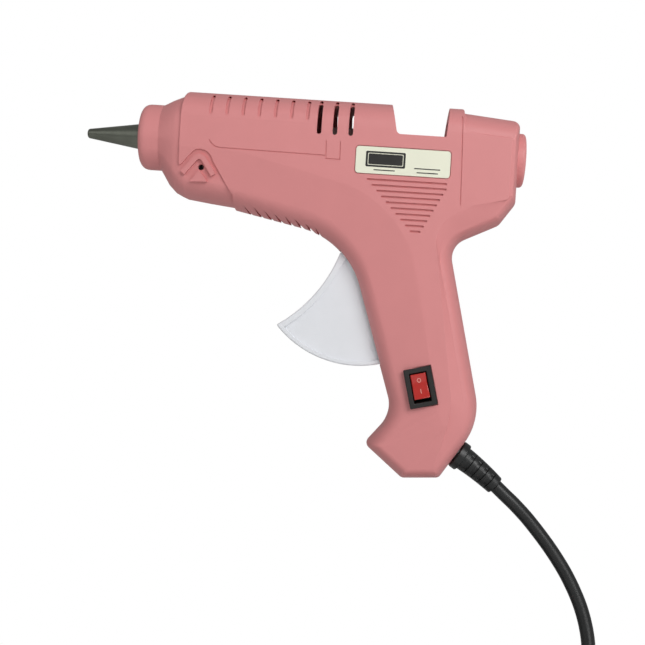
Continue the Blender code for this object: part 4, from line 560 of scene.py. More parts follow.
def along(u, v):
    """The seam-plane place u along the barrel's axis and v above it."""
    place = BARREL_FRAME @ Vector((u, 0, v))
    return place.x, place.z


def near_px(points, depth=-HALF_WIDTH):
    """Seam-plane places of points seen in the photograph on a face at some depth."""
    scale = (depth - EYE.y) / -EYE.y / PIXELS_PER_METRE
    return [(EYE.x + (x - AXIS_PX[0]) * scale, EYE.z + (AXIS_PX[1] - y) * scale) for x, y in points]


# The lead


CORD_DIAMETER = 0.0055
SURFACE = -0.1550
COIL_X = 0.0180
COIL_OUTER = 0.0377
COIL_STEP = 0.0062
COIL_LAYER = 0.0061
COIL_ENTRY = math.radians(-50)
COIL_EXIT = math.radians(-90 - 5 * 360)
COIL_EASE = math.radians(17)
COIL_POINTS = 48
TIE_THICK = 0.0008
TIE_GAP = 0.0005
SEAT_GAP = 0.0003
RELIEF_LENGTH = 0.0200
RELIEF_ROOT = 0.0034
RELIEF_DROOP = math.radians(8.0)
EXIT_SHARE = 0.424
# The ends of the sloping face that the lead leaves by, as shares of the grip's depth and drop
SLOPE_FOOT = (0.2773, -1)
SLOPE_TOP = (0.7721, -0.6420)
PLUG_REACH = 0.0580
PLUG_THICK = 0.0130
FREE_POINTS = 70
END_POINTS = 30
CORD_ROUTE = [
    (0.0396, 0.0, -0.0730), (0.0455, 0.0, -0.0797), (0.0536, -0.0006, -0.0906),
    (0.0602, -0.0018, -0.1018), (0.0650, -0.0038, -0.1140), (0.0668, -0.0068, -0.1265),
    (0.0648, -0.0105, -0.1383), (0.0590, -0.0155, -0.1470),
]
PLUG_ROUTE = [
    (-0.0080, -0.0377, -0.1496), (-0.0190, -0.0377, -0.1508), (-0.0290, -0.0377, -0.1496),
]


def grip_share(back, height):
    """A place in the grip's outline from shares of its depth and its drop."""
    return back * GRIP_DEPTH, height * GRIP_DROP


def barrel_share(forward, height):
    """A place in the barrel's outline from shares of its reach and its height."""
    reach = REAR_REACH if forward > 0 else BARREL_REACH
    rise = BARREL_TOP if height > 0 else BELLY_DEPTH
    return along(forward * reach, height * rise)


def exit_frame():
    """The frame of the lead's exit: X out of the sloping face at the back of the base."""
    low, high = (Vector(grip_share(*end)) for end in (SLOPE_FOOT, SLOPE_TOP))
    place = low + (high - low) * EXIT_SHARE
    side = (high - low).normalized()
    out = Vector((side.y, 0, -side.x))
    turn = Matrix((out, (0, 1, 0), out.cross(Vector((0, 1, 0))))).transposed().to_4x4()
    return Matrix.Translation((place.x, 0, place.y)) @ turn


EXIT_FRAME = exit_frame()


def relief_frame(reach):
    """The frame at a distance out along the strain relief, which droops a little under the lead."""
    if reach <= RELIEF_ROOT:
        return EXIT_FRAME @ Matrix.Translation((reach, 0, 0))
    radius = (RELIEF_LENGTH - RELIEF_ROOT) / RELIEF_DROOP
    angle = (reach - RELIEF_ROOT) / radius
    place = Vector((RELIEF_ROOT + radius * math.sin(angle), 0, -radius * (1 - math.cos(angle))))
    return EXIT_FRAME @ Matrix.Translation(place) @ Matrix.Rotation(angle, 4, "Y")


def coil_points():
    """The coil: a layer that spirals in on the surface, a half turn up, and a layer that spirals out."""
    base = SURFACE + TIE_THICK + TIE_GAP + CORD_DIAMETER / 2
    turned_by = COIL_ENTRY - COIL_EXIT
    middle = turned_by / 2
    count = round(turned_by / math.tau * COIL_POINTS)
    points = []
    for k in range(count + 1):
        done = turned_by * k / count
        inward = middle - math.hypot(done - middle, COIL_EASE)
        radius = COIL_OUTER - COIL_STEP * inward / math.tau
        climb = min(max((done - middle) / math.pi + 1 / 2, 0), 1)
        climb = (1 - math.cos(math.pi * climb)) / 2
        angle = COIL_ENTRY - done
        x, y = COIL_X + radius * math.cos(angle), radius * math.sin(angle)
        points.append(Vector((x, y, base + COIL_LAYER * climb)))
    first = (points[0] - points[1]).normalized() * CORD_DIAMETER
    last = (points[-1] - points[-2]).normalized() * CORD_DIAMETER
    return [points[0] + first, *points, points[-1] + last]


def plug_place():
    """Where the lead enters the plug."""
    return Vector((COIL_X - PLUG_REACH, -COIL_OUTER, SURFACE + PLUG_THICK / 2))


def cord_line():
    """The whole lead's centreline, from the strain relief to the plug."""
    coil = coil_points()
    leaving = relief_frame(RELIEF_LENGTH)
    starts = [leaving @ Vector((out, 0, 0)) for out in (SEAT_GAP, CORD_DIAMETER)]
    ahead = (coil[0] - coil[1]).normalized()
    free = smooth_path([*starts, *CORD_ROUTE, coil[0] + ahead * CORD_DIAMETER, coil[0]], FREE_POINTS)
    ahead = (coil[-1] - coil[-2]).normalized()
    plug = plug_place() + Vector((SEAT_GAP, 0, 0))
    into_plug = plug + Vector((CORD_DIAMETER, 0, 0))
    out_of_coil = coil[-1] + ahead * CORD_DIAMETER
    end = smooth_path([coil[-1], out_of_coil, *PLUG_ROUTE, into_plug, plug], END_POINTS)
    return free + coil[1:-1] + end


def power_cord():
    """The lead as one round curve, from the strain relief through the coil to the plug."""
    line = cord_line()
    curve = bpy.data.curves.new("mains_lead", "CURVE")
    curve.dimensions = "3D"
    spline = curve.splines.new("POLY")
    spline.points.add(len(line) - 1)
    for point, place in zip(spline.points, line):
        point.co = (*place, 1)
    curve.bevel_depth = CORD_DIAMETER / 2
    curve.bevel_resolution = 5
    curve.use_fill_caps = True
    made = added("mains_lead", curve)
    dress(made, "cord_rubber", nodes=("power_cord", "power_cord_coil", "power_cord_end"))
    plug()
    cord_tie()


def cord_tie():
    """The flat tie round the coil, on its far side."""
    low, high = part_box("cord_tie")
    inner = TIE_THICK
    rings = []
    for x, thin in ((low[0], inner), (low[0], 0), (high[0], 0), (high[0], inner)):
        left, right, foot, top = low[1] + thin, high[1] - thin, low[2] + thin, high[2] - thin
        corners = [(left, top), (right, top), (right, foot), (left, foot)]
        soft = rounded([(y, z, TIE_THICK * 2 - thin, 6) for y, z in corners])
        rings.append([(x, y, z) for y, z in soft])
    made = rings_body("lead_tie", rings, closed=True)
    return dress(made, "black_plastic", nodes=("cord_tie",))


# How square the plug is, and its sections from the lead to the face: shares of its length, width and
# thickness.
PLUG_SQUARE = 0.6
PLUG_SHARES = [
    (0.00, 0.34, 0.66), (0.04, 0.37, 0.72), (0.10, 0.42, 0.80), (0.20, 0.52, 0.87), (0.30, 0.63, 0.92),
    (0.42, 0.80, 0.97), (0.55, 0.94, 1.00), (0.62, 0.99, 1.00), (0.70, 1.00, 1.00), (0.97, 1.00, 1.00),
    (0.99, 0.985, 0.97), (1.00, 0.955, 0.92),
]


def plug():
    """The plug's body, moulded onto the lead."""
    low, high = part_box("plug_body")
    length, width, thick = (high[i] - low[i] for i in range(3))
    rings = []
    for along_share, width_share, thick_share in PLUG_SHARES:
        ring = []
        for a in angles(48):
            c, s = math.cos(a), math.sin(a)
            y = math.copysign(abs(c) ** PLUG_SQUARE, c) * width_share * width / 2
            z = math.copysign(abs(s) ** PLUG_SQUARE, s) * thick_share * thick / 2
            middle = (low[1] + high[1]) / 2, (low[2] + high[2]) / 2
            ring.append((high[0] - along_share * length, middle[0] + y, middle[1] + z))
        rings.append(ring)
    return dress(rings_body("plug_shell", rings), "black_plastic", nodes=("plug_body",), smooth=40)


# The body's form, as in the frame's solids but in finer steps

TOP_ROUND = 0.0103
SHELF_ROUND = 0.0087
BELLY_ROUND = 0.0083
REAR_ROUND = 0.0030
RUMP_ROUND = 0.0040
BACK_ROUND = 0.0055
FRONT_ROUND = 0.0064
BASE_ROUND = 0.0050

# Each corner: its place, its fillet as a share of the grip's depth, its arc steps, the rounding of the
# side that follows it, how far out the shoulder lies as a share of the width, and where the flat of the
# side panel has its corner, with that corner's fillet as a share of the grip's depth.
CORNER_SHARES = [
    ((barrel_share, -1, 1), 0.036, 2, TOP_ROUND, 0.994, (barrel_share, -1, 0.386), 0.02),
    ((barrel_share, 0.4475, 1), 0.018, 1, 0, 0.994, (barrel_share, 0.43, 0.386), 0.01),
    ((barrel_share, 0.4475, 0.908), 0.012, 1, SHELF_ROUND, 0.985, (barrel_share, 0.49, 0.380), 0.01),
    ((barrel_share, 1, 0.804), 0.090, 2, REAR_ROUND, 0.97, (barrel_share, 0.9, 0.330), 0.03),
    ((barrel_share, 1, -0.669), 0.090, 2, RUMP_ROUND, 0.96, (barrel_share, 0.9, -0.639), 0.04),
    ((barrel_share, 0.8575, -0.977), 0.121, 2, RUMP_ROUND, 0.90, (barrel_share, 0.560, -0.756), 0.24),
    ((grip_share, 0.4067, 0.4703), 0.242, 4, BACK_ROUND, SHOULDER, (grip_share, 0.2080, 0.5900), 0.364),
    ((grip_share, *SLOPE_TOP), 0.727, 4, BASE_ROUND, SHOULDER, (grip_share, 0.4000, -0.4880), 0.18),
    ((grip_share, *SLOPE_FOOT), 0.076, 2, BASE_ROUND, 0.83, (grip_share, 0.3697, -0.6396), 0.01),
    ((grip_share, -0.1667, -1), 0.091, 2, BASE_ROUND, 0.83, (grip_share, 0.3394, -0.6542), 0.01),
    ((grip_share, -0.6085, -0.7803), 0.067, 2, BASE_ROUND, 0.83, (grip_share, 0.3030, -0.6493), 0.01),
    ((grip_share, -0.2660, -0.6007), 0.627, 5, FRONT_ROUND, SHOULDER, (grip_share, 0.2485, -0.5533), 0.09),
    ((grip_share, -0.8060, 0.5126), 1.000, 6, BELLY_ROUND, SHOULDER, (grip_share, -0.1273, 0.7307), 1.32),
    ((barrel_share, -0.765, -1), 0.300, 2, BELLY_ROUND, SHOULDER, (barrel_share, -0.7617, -0.184), 0.06),
    ((barrel_share, -1, -0.872), 0.036, 2, 0, SHOULDER, (barrel_share, -1, -0.173), 0.02),
]
FINER = 3
SIDE_PIECES = 5
ROUNDING_STEPS = 10
# The corners along the grip's front, where the body is flat across the seam to this share of its width.
FLAT_CORNERS = (11, 12)
FLAT_SHARE = 0.35
FACET_SHARES = (0.05, 0.28, 0.52, 0.76, 0.94)
EDGE_SOFT = 0.0006
EDGE_SINK = 0.00002


def spread(values, corners, pieces):
    """One value for each corner, repeated over its arc and led along the side that follows it."""
    result = []
    for here, following, corner in zip(values, values[1:] + values[:1], corners):
        result += [here] * (corner[3] + 1)
        result += [here + (following - here) * k / pieces for k in range(1, pieces)]
    return result


def body_rings(wall):
    """Half of the gun's body, from the seam out to the flat side panel, in by a wall."""
    inside = wall > GROOVES_DEEPEST
    outer, panel = [], []
    for (place, a, b), fillet, steps, _, _, (panel_place, c, d), panel_fillet in CORNER_SHARES:
        steps = (steps + 1) // 2 if inside else steps * FINER
        outer.append((*place(a, b), fillet * GRIP_DEPTH, steps))
        panel.append((*panel_place(c, d), panel_fillet * GRIP_DEPTH, steps))
    shoulder = inset(outer, [max(row[3], wall) for row in CORNER_SHARES])
    if wall:
        outer = inset(outer, [wall] * len(outer))
        panel = inset(panel, [0] * (len(panel) - 1) + [wall])
    pieces = 1 if inside else SIDE_PIECES
    widths = spread([row[4] * HALF_WIDTH - wall for row in CORNER_SHARES], outer, pieces)
    flats = [FLAT_SHARE if i in FLAT_CORNERS else 0 for i in range(len(outer))]
    flats = spread(flats, outer, pieces)
    rings = [[(x, 0, z) for x, z in filled(outer, pieces)]]
    for sine, cosine in quarter(2 if inside else ROUNDING_STEPS):
        outline = filled(between(outer, shoulder, 1 - cosine), pieces)
        shares = [flat + (1 - flat) * sine for flat in flats]
        rings.append([(x, w * share, z) for (x, z), w, share in zip(outline, widths, shares)])
    flat = HALF_WIDTH - wall
    if inside:
        rings.append([(x, flat, z) for x, z in rounded(panel)])
        return rings
    first, last = filled(shoulder, pieces), filled(panel, pieces)
    for share in FACET_SHARES:
        ring = []
        for (x, z), (panel_x, panel_z), w in zip(first, last, widths):
            ring.append((x + (panel_x - x) * share, w + (flat - w) * share, z + (panel_z - z) * share))
        rings.append(ring)
    rings.append([(x, flat - EDGE_SINK, z) for x, z in last])
    rings.append([(x, flat, z) for x, z in filled(inset(panel, [EDGE_SOFT] * len(panel)), pieces)])
    return rings


def narrowed(made):
    """Draws the body in towards the grip's base, below the foot of the barrel."""
    top = AXIS_HEIGHT - BELLY_DEPTH
    bm = bmesh.new()
    bm.from_mesh(made.data)
    geometry = bm.verts[:] + bm.edges[:] + bm.faces[:]
    bmesh.ops.bisect_plane(bm, geom=geometry, plane_co=(0, 0, top), plane_no=(0, 0, 1))
    for vert in bm.verts:
        share = min(max((top - vert.co.z) / (top + GRIP_DROP), 0), 1)
        vert.co.y *= 1 - share * (1 - GRIP_HALF_WIDTH / HALF_WIDTH)
    bm.to_mesh(made.data)
    bm.free()
    return made


def gun_body(name, wall):
    """The whole closed form of the body, both sides of the seam."""
    half = body_rings(wall)
    other = [[(x, -y, z) for x, y, z in ring] for ring in reversed(half[1:])]
    return narrowed(rings_body(name, other + half))


# Stations of the snout from the collar back: reach, top, bottom and half width as shares of the
# barrel's reach, top, belly and width, and how far the section has turned from round to the body's.
CONE_SHARES = [
    (-1.0593, 0.799, 0.703, 0.859, 0.45),
    (-1.0291, 0.859, 0.801, 0.924, 0.75),
    (-1.0022, 0.913, 0.846, 0.953, 0.95),
    (-0.9776, 0.951, 0.880, 0.959, 1.00),
    (-0.8800, 0.951, 0.922, 0.959, 1.00),
    (-0.7600, 0.951, 0.966, 0.959, 1.00),
    (-0.6900, 0.951, 0.970, 0.959, 1.00),
]
COLLAR_EDGE_SHARES = [
    (0.0, 0.70), (0.012, 0.78), (0.04, 0.85), (0.085, 0.90), (0.14, 0.94), (0.21, 0.97), (0.30, 0.99),
    (0.38, 0.998), (0.46, 1.0),
]
SNOUT_STEPS = 12
# Where the round section's top arc ends, and where its low arc starts, as angles from the top.
TOP_ARC, SIDE_ARC, LOW_ARC = 80, 20, 116
SIDE_STEPS = 3


def snout_section(u, top, bottom, width, turned_share):
    """One section of the snout, from round to the body's own shape."""
    flat_top = CORNER_SHARES[0][5][2] * top
    flat_low = CORNER_SHARES[-1][5][2] * bottom
    shoulder = CORNER_SHARES[-1][4] * width
    shape, round_angles = [], []
    for k, (sine, cosine) in enumerate(quarter(SNOUT_STEPS, 0)):
        shape.append((width * sine, flat_top + (top - flat_top) * cosine))
        round_angles.append(math.radians(TOP_ARC * k / SNOUT_STEPS))
    for k in range(1, SIDE_STEPS + 1):
        shape.append((width, flat_top + (flat_low - flat_top) * k / SIDE_STEPS))
        round_angles.append(math.radians(TOP_ARC + SIDE_ARC * k / SIDE_STEPS))
    low = bottom - min(BELLY_ROUND, bottom / 2)
    for k, (sine, cosine) in enumerate(quarter(SNOUT_STEPS, 0)):
        shape.append((shoulder * cosine, -low - (bottom - low) * sine))
        round_angles.append(math.radians(LOW_ARC + (180 - LOW_ARC) * k / SNOUT_STEPS))
    half = []
    for (y, v), angle in zip(shape, round_angles):
        height = top if math.cos(angle) > 0 else bottom
        plain = (width * math.sin(angle), height * math.cos(angle))
        half.append((plain[0] + (y - plain[0]) * turned_share, plain[1] + (v - plain[1]) * turned_share))
    ring = half + [(-y, v) for y, v in reversed(half[1:-1])]
    return [BARREL_FRAME @ Vector((u, y, v)) for y, v in ring]


def snout(name, wall):
    """The round collar, the cone behind it and the chin, in by a wall."""
    rings = []
    edge = COLLAR_REACH - CONE_REACH
    for back, share in COLLAR_EDGE_SHARES:
        r = COLLAR_RADIUS * share - wall
        rings.append(snout_section(-COLLAR_REACH + wall + back * edge, r, r, r, 0))
    r = COLLAR_RADIUS - wall
    stations = [(-CONE_REACH + wall, r, r, r, 0)]
    for reach, top, bottom, width, turned_share in CONE_SHARES:
        stations.append(
            (
                reach * BARREL_REACH + wall,
                top * BARREL_TOP - wall,
                bottom * BELLY_DEPTH - wall,
                width * HALF_WIDTH - wall,
                turned_share,
            )
        )
    rings.append(snout_section(*stations[0]))
    for near, far in zip(stations, stations[1:]):
        for k in range(1, SIDE_STEPS + 1):
            section = (a + (b - a) * k / SIDE_STEPS for a, b in zip(near, far))
            rings.append(snout_section(*section))
    return rings_body(name, rings)


# The hook line that ends the side panel over the stand hole, as shares of the barrel's reach and belly.
HOOK_SHARES = [
    (-1.03, -0.44), (-0.990, -0.425), (-0.967, -0.335), (-0.945, -0.250), (-0.935, -0.222),
    (-0.925, -0.205), (-0.915, -0.198), (-0.905, -0.198), (-0.892, -0.208), (-0.880, -0.225),
    (-0.870, -0.255), (-0.862, -0.290), (-0.852, -0.370), (-0.766, -0.820), (-0.764, -1.35),
    (-1.03, -1.35),
]

# Shallow marks of the left side, in pixels of the photograph: the panel's groove line, the tab's
# outline, the line of the rear block, and the scallops under the barrel.
LINE_PX = [(209.1, 139.3), (211.6, 143.4), (215.2, 146.4), (220, 147.6), (324.9, 155.3)]
TAB_PX = [(326.2, 140.6), (325.8, 158.6), (339.6, 159.4), (340.4, 141.6)]
REAR_LINE_PX = [(463.1, 115.5), (461.8, 160), (460.3, 205)]
SCALLOPS_PX = [
    ((241.6, 204.4), (247.4, 213.9)),
    ((251.8, 205.6), (257.6, 215.2)),
    ((262.7, 209.5), (268.4, 218.4)),
    ((272.9, 212.7), (278.0, 220.3)),
    ((283.7, 215.2), (287.6, 221.6)),
    ((293.3, 217.8), (297.8, 224.1)),
    ((304.1, 222.2), (307.3, 226.7)),
    ((314.3, 226.7), (316.3, 231.1)),
]
# The stand's raised rib, its boss and the hole, in pixels of the photograph.
STAND_RIB_PX = [
    (181.6, 172.2), (189.6, 163.6), (195.6, 157.4), (199.4, 155.9), (203.0, 157.9), (206.0, 162.6),
    (212.6, 174.6),
]
STAND_BOSS_PX = [(198.4, 169.6), (206.2, 181.2), (188.8, 180.8)]
STAND_HOLE_SHARES = (-0.905, -0.451)
STAND_HOLE_RADIUS = 0.0011

# Grooves: seven across the shoulder, and a triangle of them under the label
GROOVES_DEEPEST = 0.0009
RIB_DEEP = 0.0008
LINE_DEEP = 0.00035
LINE_HALF = 0.0002
SCALLOP_DEEP = 0.0009
SCALLOP_HALF = 0.000975
STAND_RIB_HALF = 0.00095
STAND_PROUD = 0.0014
RIB_HALF = 0.00065
RIB_PITCH = 0.0061
RIB_FIRST = 0.0782
RIB_LOW = 0.0083
RIB_HIGH = 0.01565
RIB_COUNT = 7
TRIANGLE_HALF = 0.00038
TRIANGLE_PITCH = 0.00207
TRIANGLE_TOP = 0.0127
TRIANGLE_FRONT = 0.0175
TRIANGLE_BACK = 0.0121
TRIANGLE_COUNT = 10
VENT_HALF = 0.0009
VENT_PITCH = 0.0060
VENT_FIRST = 0.0370
VENT_LOW = 0.0032
VENT_HIGH = 0.0143
VENT_SHALLOW = 0.0163
VENT_COUNT = 3


def vent_outlines():
    """The three vent slots."""
    outlines = []
    for k in range(VENT_COUNT):
        u = -VENT_FIRST + k * VENT_PITCH
        outlines.append(slot_outline(along(u, VENT_LOW + VENT_HALF), along(u, VENT_HIGH), VENT_HALF))
    return outlines


def groove_outlines():
    """The shoulder's seven blind grooves, the vents' shallow ends and the triangle of lines."""
    outlines = []
    for k in range(RIB_COUNT):
        u = -RIB_FIRST + k * RIB_PITCH
        outlines.append(slot_outline(along(u, RIB_LOW + RIB_HALF), along(u, RIB_HIGH), RIB_HALF))
    for k in range(VENT_COUNT):
        u = -VENT_FIRST + k * VENT_PITCH
        outlines.append(slot_outline(along(u, VENT_HIGH), along(u, VENT_SHALLOW), RIB_HALF))
    for k in range(TRIANGLE_COUNT):
        v = -TRIANGLE_TOP - k * TRIANGLE_PITCH
        front = -TRIANGLE_FRONT * (1 - k / (TRIANGLE_COUNT - 1))
        back = TRIANGLE_BACK * (1 - max(k - 1, 0) / (TRIANGLE_COUNT + 1))
        outlines.append(slot_outline(along(front, v), along(back, v), TRIANGLE_HALF))
    return outlines


def scallop_outlines():
    """The diagonal notches along the belly's edge."""
    outlines = []
    for start, end in SCALLOPS_PX:
        start, end = (Vector(p) for p in near_px((start, end)))
        ahead = (end - start).normalized()
        tip = end + ahead * OVERRUN
        across = Vector((-ahead.y, ahead.x))
        half = across * SCALLOP_HALF
        outlines.append([tuple(start), tuple(tip - half), tuple(tip + half)])
    return outlines


def comb(name, outlines, deep):
    """Grooves of one depth on both sides: prisms through the body, less what lies deeper than they go."""
    reach = HALF_WIDTH + OVERRUN
    return cut(prisms(name, outlines, -reach, reach), [gun_body(name + "_core", deep)])


def stand_details():
    """The stand's raised rib and boss, which follow the chin's surface."""
    outlines = [stroke(near_px(STAND_RIB_PX), STAND_RIB_HALF), near_px(STAND_BOSS_PX)]
    reach = HALF_WIDTH + OVERRUN
    raised = prisms("stand_details", outlines, -reach, reach)
    return keep(raised, snout("snout_proud", -STAND_PROUD))


def axis_rod(name, front, back, radius, sides=48):
    """A rod along the barrel's axis between two places."""
    ends = [BARREL_FRAME @ Vector((u, 0, 0)) for u in (front, back)]
    return rod(name, *ends, radius, sides)


def cross_rod(name, place, low, high, radius, sides=32):
    """A rod along Y at a place of the seam plane."""
    return rod(name, (place[0], low, place[1]), (place[0], high, place[1]), radius, sides)


NOTCH_FRONT = 0.0101
NOTCH_FRONT_FOOT = 0.0075
NOTCH_BACK = 0.0124
NOTCH_BACK_FOOT = 0.0112
NOTCH_FLOOR = 0.0051
NOTCH_CORNER = 0.0018
GUIDE_RADIUS = 0.0063
GUIDE_WALL = 0.0020
ARCH_TOP = 0.0128
ARCH_HALF_WIDTH = 0.0070
RIB_PLACE = 0.0540
RIB_DROP = 0.0140
SLEEVE_RADIUS = 0.0091
HINGE = (-0.0214, 0.0232)
TRIGGER_RADIUS = 0.0408
TRIGGER_RIM = 0.0074
TRIGGER_TOP_REACH = 0.0082
PIVOT_BOSS = 0.0046
PIVOT_RADIUS = 0.0016
PIVOT_REACH = 0.0102
SLOT_GAP = 0.0006
# The sector that the trigger sweeps about its hinge
SWEEP_FROM, SWEEP_TO = math.radians(200), math.radians(292)
SCREW_PLACES = {
    "chin": barrel_share(-0.984, -0.684),
    "belly": barrel_share(-0.582, -0.902),
    "rump": barrel_share(0.700, -0.640),
    "roof": barrel_share(-0.559, 0.707),
    "grip": grip_share(0.318, 0.293),
    "heel": grip_share(-0.288, -0.8055),
}
SCREW_SEAT = HALF_WIDTH - 0.0090
SCREW_BOSS = 0.0034
SCREW_HEAD = 0.0026
SCREW_RADIUS = 0.0014
SCREW_BITE = 0.0080
INLET_RADIUS = 0.0105
INLET_REACH = 0.0026
INLET_SOFT = 0.0013
RELIEF_NECK = 0.0036
BEZEL_LONG = 0.0150
BEZEL_SHORT = 0.0105
SWITCH_BODY_LONG = 0.0128
SWITCH_BODY_SHORT = 0.0082
SWITCH_BODY_DEPTH = 0.0110
SWITCH_PLACE = (0.0016, -0.0150, -0.0252)
SWITCH_LEAN = math.radians(10.6)
SWITCH_FRAME = Matrix.Translation(SWITCH_PLACE) @ Matrix.Rotation(-SWITCH_LEAN, 4, "Y")
LABEL_FRONT = 0.0225
LABEL_BACK = 0.0133
LABEL_DROP = 0.0003
LABEL_HEIGHT = 0.0102
LABEL_CORNER = 0.0012
LABEL_SINK = 0.0006


def notch(name, wall):
    """The open window over the stick, larger by a wall."""
    lean = (NOTCH_BACK - NOTCH_BACK_FOOT) / BARREL_TOP
    corners = [
        (*along(-NOTCH_FRONT - wall, BARREL_TOP + OVERRUN), 0, 0),
        (*along(NOTCH_BACK + lean * OVERRUN + wall, BARREL_TOP + OVERRUN), 0, 0),
        (*along(NOTCH_BACK_FOOT + wall, NOTCH_FLOOR - wall), 0, 0),
        (*along(-NOTCH_FRONT_FOOT - wall, NOTCH_FLOOR - wall), NOTCH_CORNER, 8),
        (*along(-NOTCH_FRONT - wall, BARREL_TOP), 0, 0),
    ]
    return prism(name, rounded(corners), -HALF_WIDTH - OVERRUN, HALF_WIDTH + OVERRUN)


def kept_inside():
    """What the halves hold inside their walls: guides, ribs and bosses, as solids to leave in."""
    kept = [notch("notch_wall", WALL)]
    kept.append(axis_rod("guide_wall", -NOTCH_FRONT - WALL, REAR_REACH, GUIDE_RADIUS + GUIDE_WALL))
    low = (-RIB_PLACE - WALL / 2, -HALF_WIDTH, -RIB_DROP)
    high = (-RIB_PLACE + WALL / 2, HALF_WIDTH, BARREL_TOP)
    rib = frame_box("chamber_rib", BARREL_FRAME, low, high)
    hole = SLEEVE_RADIUS + SEAT_GAP
    kept.append(cut(rib, [axis_rod("rib_hole", -RIB_PLACE - WALL, -RIB_PLACE + WALL, hole)]))
    for side in (-1, 1):
        near, far = side * (TRIGGER_RIM + SLOT_GAP), side * HALF_WIDTH
        kept.append(cross_rod("pivot_boss", HINGE, near, far, PIVOT_BOSS))
    for place in SCREW_PLACES.values():
        kept.append(cross_rod("screw_boss", place, -HALF_WIDTH, HALF_WIDTH, SCREW_BOSS))
    return kept


def trigger_sweep():
    """Where the trigger moves through the grip's front wall."""
    radius = TRIGGER_RADIUS + SLOT_GAP
    sector = [HINGE, *circle(*HINGE, radius, 48, SWEEP_FROM, SWEEP_TO)]
    width = TRIGGER_RIM + SLOT_GAP
    swept = prism("trigger_slot", sector, -width, width)
    return join(swept, [cross_rod("hub_sweep", HINGE, -width, width, TRIGGER_TOP_REACH + SLOT_GAP, 48)])


def openings():
    """Everything that goes through the walls of both halves."""
    reach = HALF_WIDTH + OVERRUN
    cuts = [notch("notch", 0), prisms("vents", vent_outlines(), -reach, reach)]
    cuts.append(axis_rod("stick_way", -NOTCH_FRONT - OVERRUN, REAR_REACH + OVERRUN, GUIDE_RADIUS, 64))
    low = (NOTCH_BACK_FOOT - WALL, -ARCH_HALF_WIDTH, 0)
    high = (NOTCH_BACK + WALL * 2, ARCH_HALF_WIDTH, ARCH_TOP)
    cuts.append(frame_box("arch", BARREL_FRAME, low, high))
    hole = NOZZLE_RADIUS + SEAT_GAP
    cuts.append(axis_rod("nozzle_hole", -COLLAR_REACH - OVERRUN, -COLLAR_REACH + OVERRUN, hole, 64))
    place = barrel_share(*STAND_HOLE_SHARES)
    cuts.append(cross_rod("stand_hole", place, -reach, reach, STAND_HOLE_RADIUS))
    cuts.append(trigger_sweep())
    start = EXIT_FRAME @ Vector((-WALL * 3, 0, 0))
    end = EXIT_FRAME @ Vector((OVERRUN, 0, 0))
    cuts.append(rod("exit_hole", start, end, RELIEF_NECK + SEAT_GAP, 48))
    pin = PIVOT_REACH + SEAT_GAP
    cuts.append(cross_rod("pivot_hole", HINGE, -pin, pin, PIVOT_RADIUS + SEAT_GAP))
    for place in SCREW_PLACES.values():
        shank = SCREW_RADIUS + SEAT_GAP
        cuts.append(cross_rod("screw_way", place, -SCREW_BITE - SEAT_GAP, SCREW_SEAT + OVERRUN, shank, 24))
        cuts.append(cross_rod("screw_sink", place, SCREW_SEAT, HALF_WIDTH + OVERRUN, SCREW_HEAD + SEAT_GAP))
    return cuts


def label_outline(grow):
    """The label's outline with its round corners, in the barrel's frame."""
    low, high = -LABEL_DROP - LABEL_HEIGHT - grow, -LABEL_DROP + grow
    front, back = -LABEL_FRONT - grow, LABEL_BACK + grow
    corners = [(front, high), (back, high), (back, low), (front, low)]
    return rounded([(u, v, LABEL_CORNER + grow, 6) for u, v in corners])


def left_openings():
    """What only the label side has: the label's seat and the switch's pad and way."""
    seat = prism("label_seat", label_outline(SEAT_GAP), -HALF_WIDTH - OVERRUN, -HALF_WIDTH + LABEL_SINK)
    seat.data.transform(BARREL_FRAME)
    cuts = [seat]
    long, short = BEZEL_LONG / 2 + SEAT_GAP, BEZEL_SHORT / 2 + SEAT_GAP
    cuts.append(frame_box("switch_pad", SWITCH_FRAME, (-short, -OVERRUN, -long), (short, 0, long)))
    long, short = SWITCH_BODY_LONG / 2 + SEAT_GAP, SWITCH_BODY_SHORT / 2 + SEAT_GAP
    high = (short, SWITCH_BODY_DEPTH, long)
    cuts.append(frame_box("switch_way", SWITCH_FRAME, (-short, -OVERRUN, -long), high))
    return cuts


def inlet_ring():
    """The raised ring round the stick's inlet."""
    profile = [(REAR_REACH - WALL, INLET_RADIUS)]
    for sine, cosine in quarter(first=0):
        x = REAR_REACH + INLET_REACH - INLET_SOFT * (1 - sine)
        profile.append((x, INLET_RADIUS - INLET_SOFT * (1 - cosine)))
    ring = turned("inlet_ring", profile)
    ring.data.transform(BARREL_FRAME)
    return ring


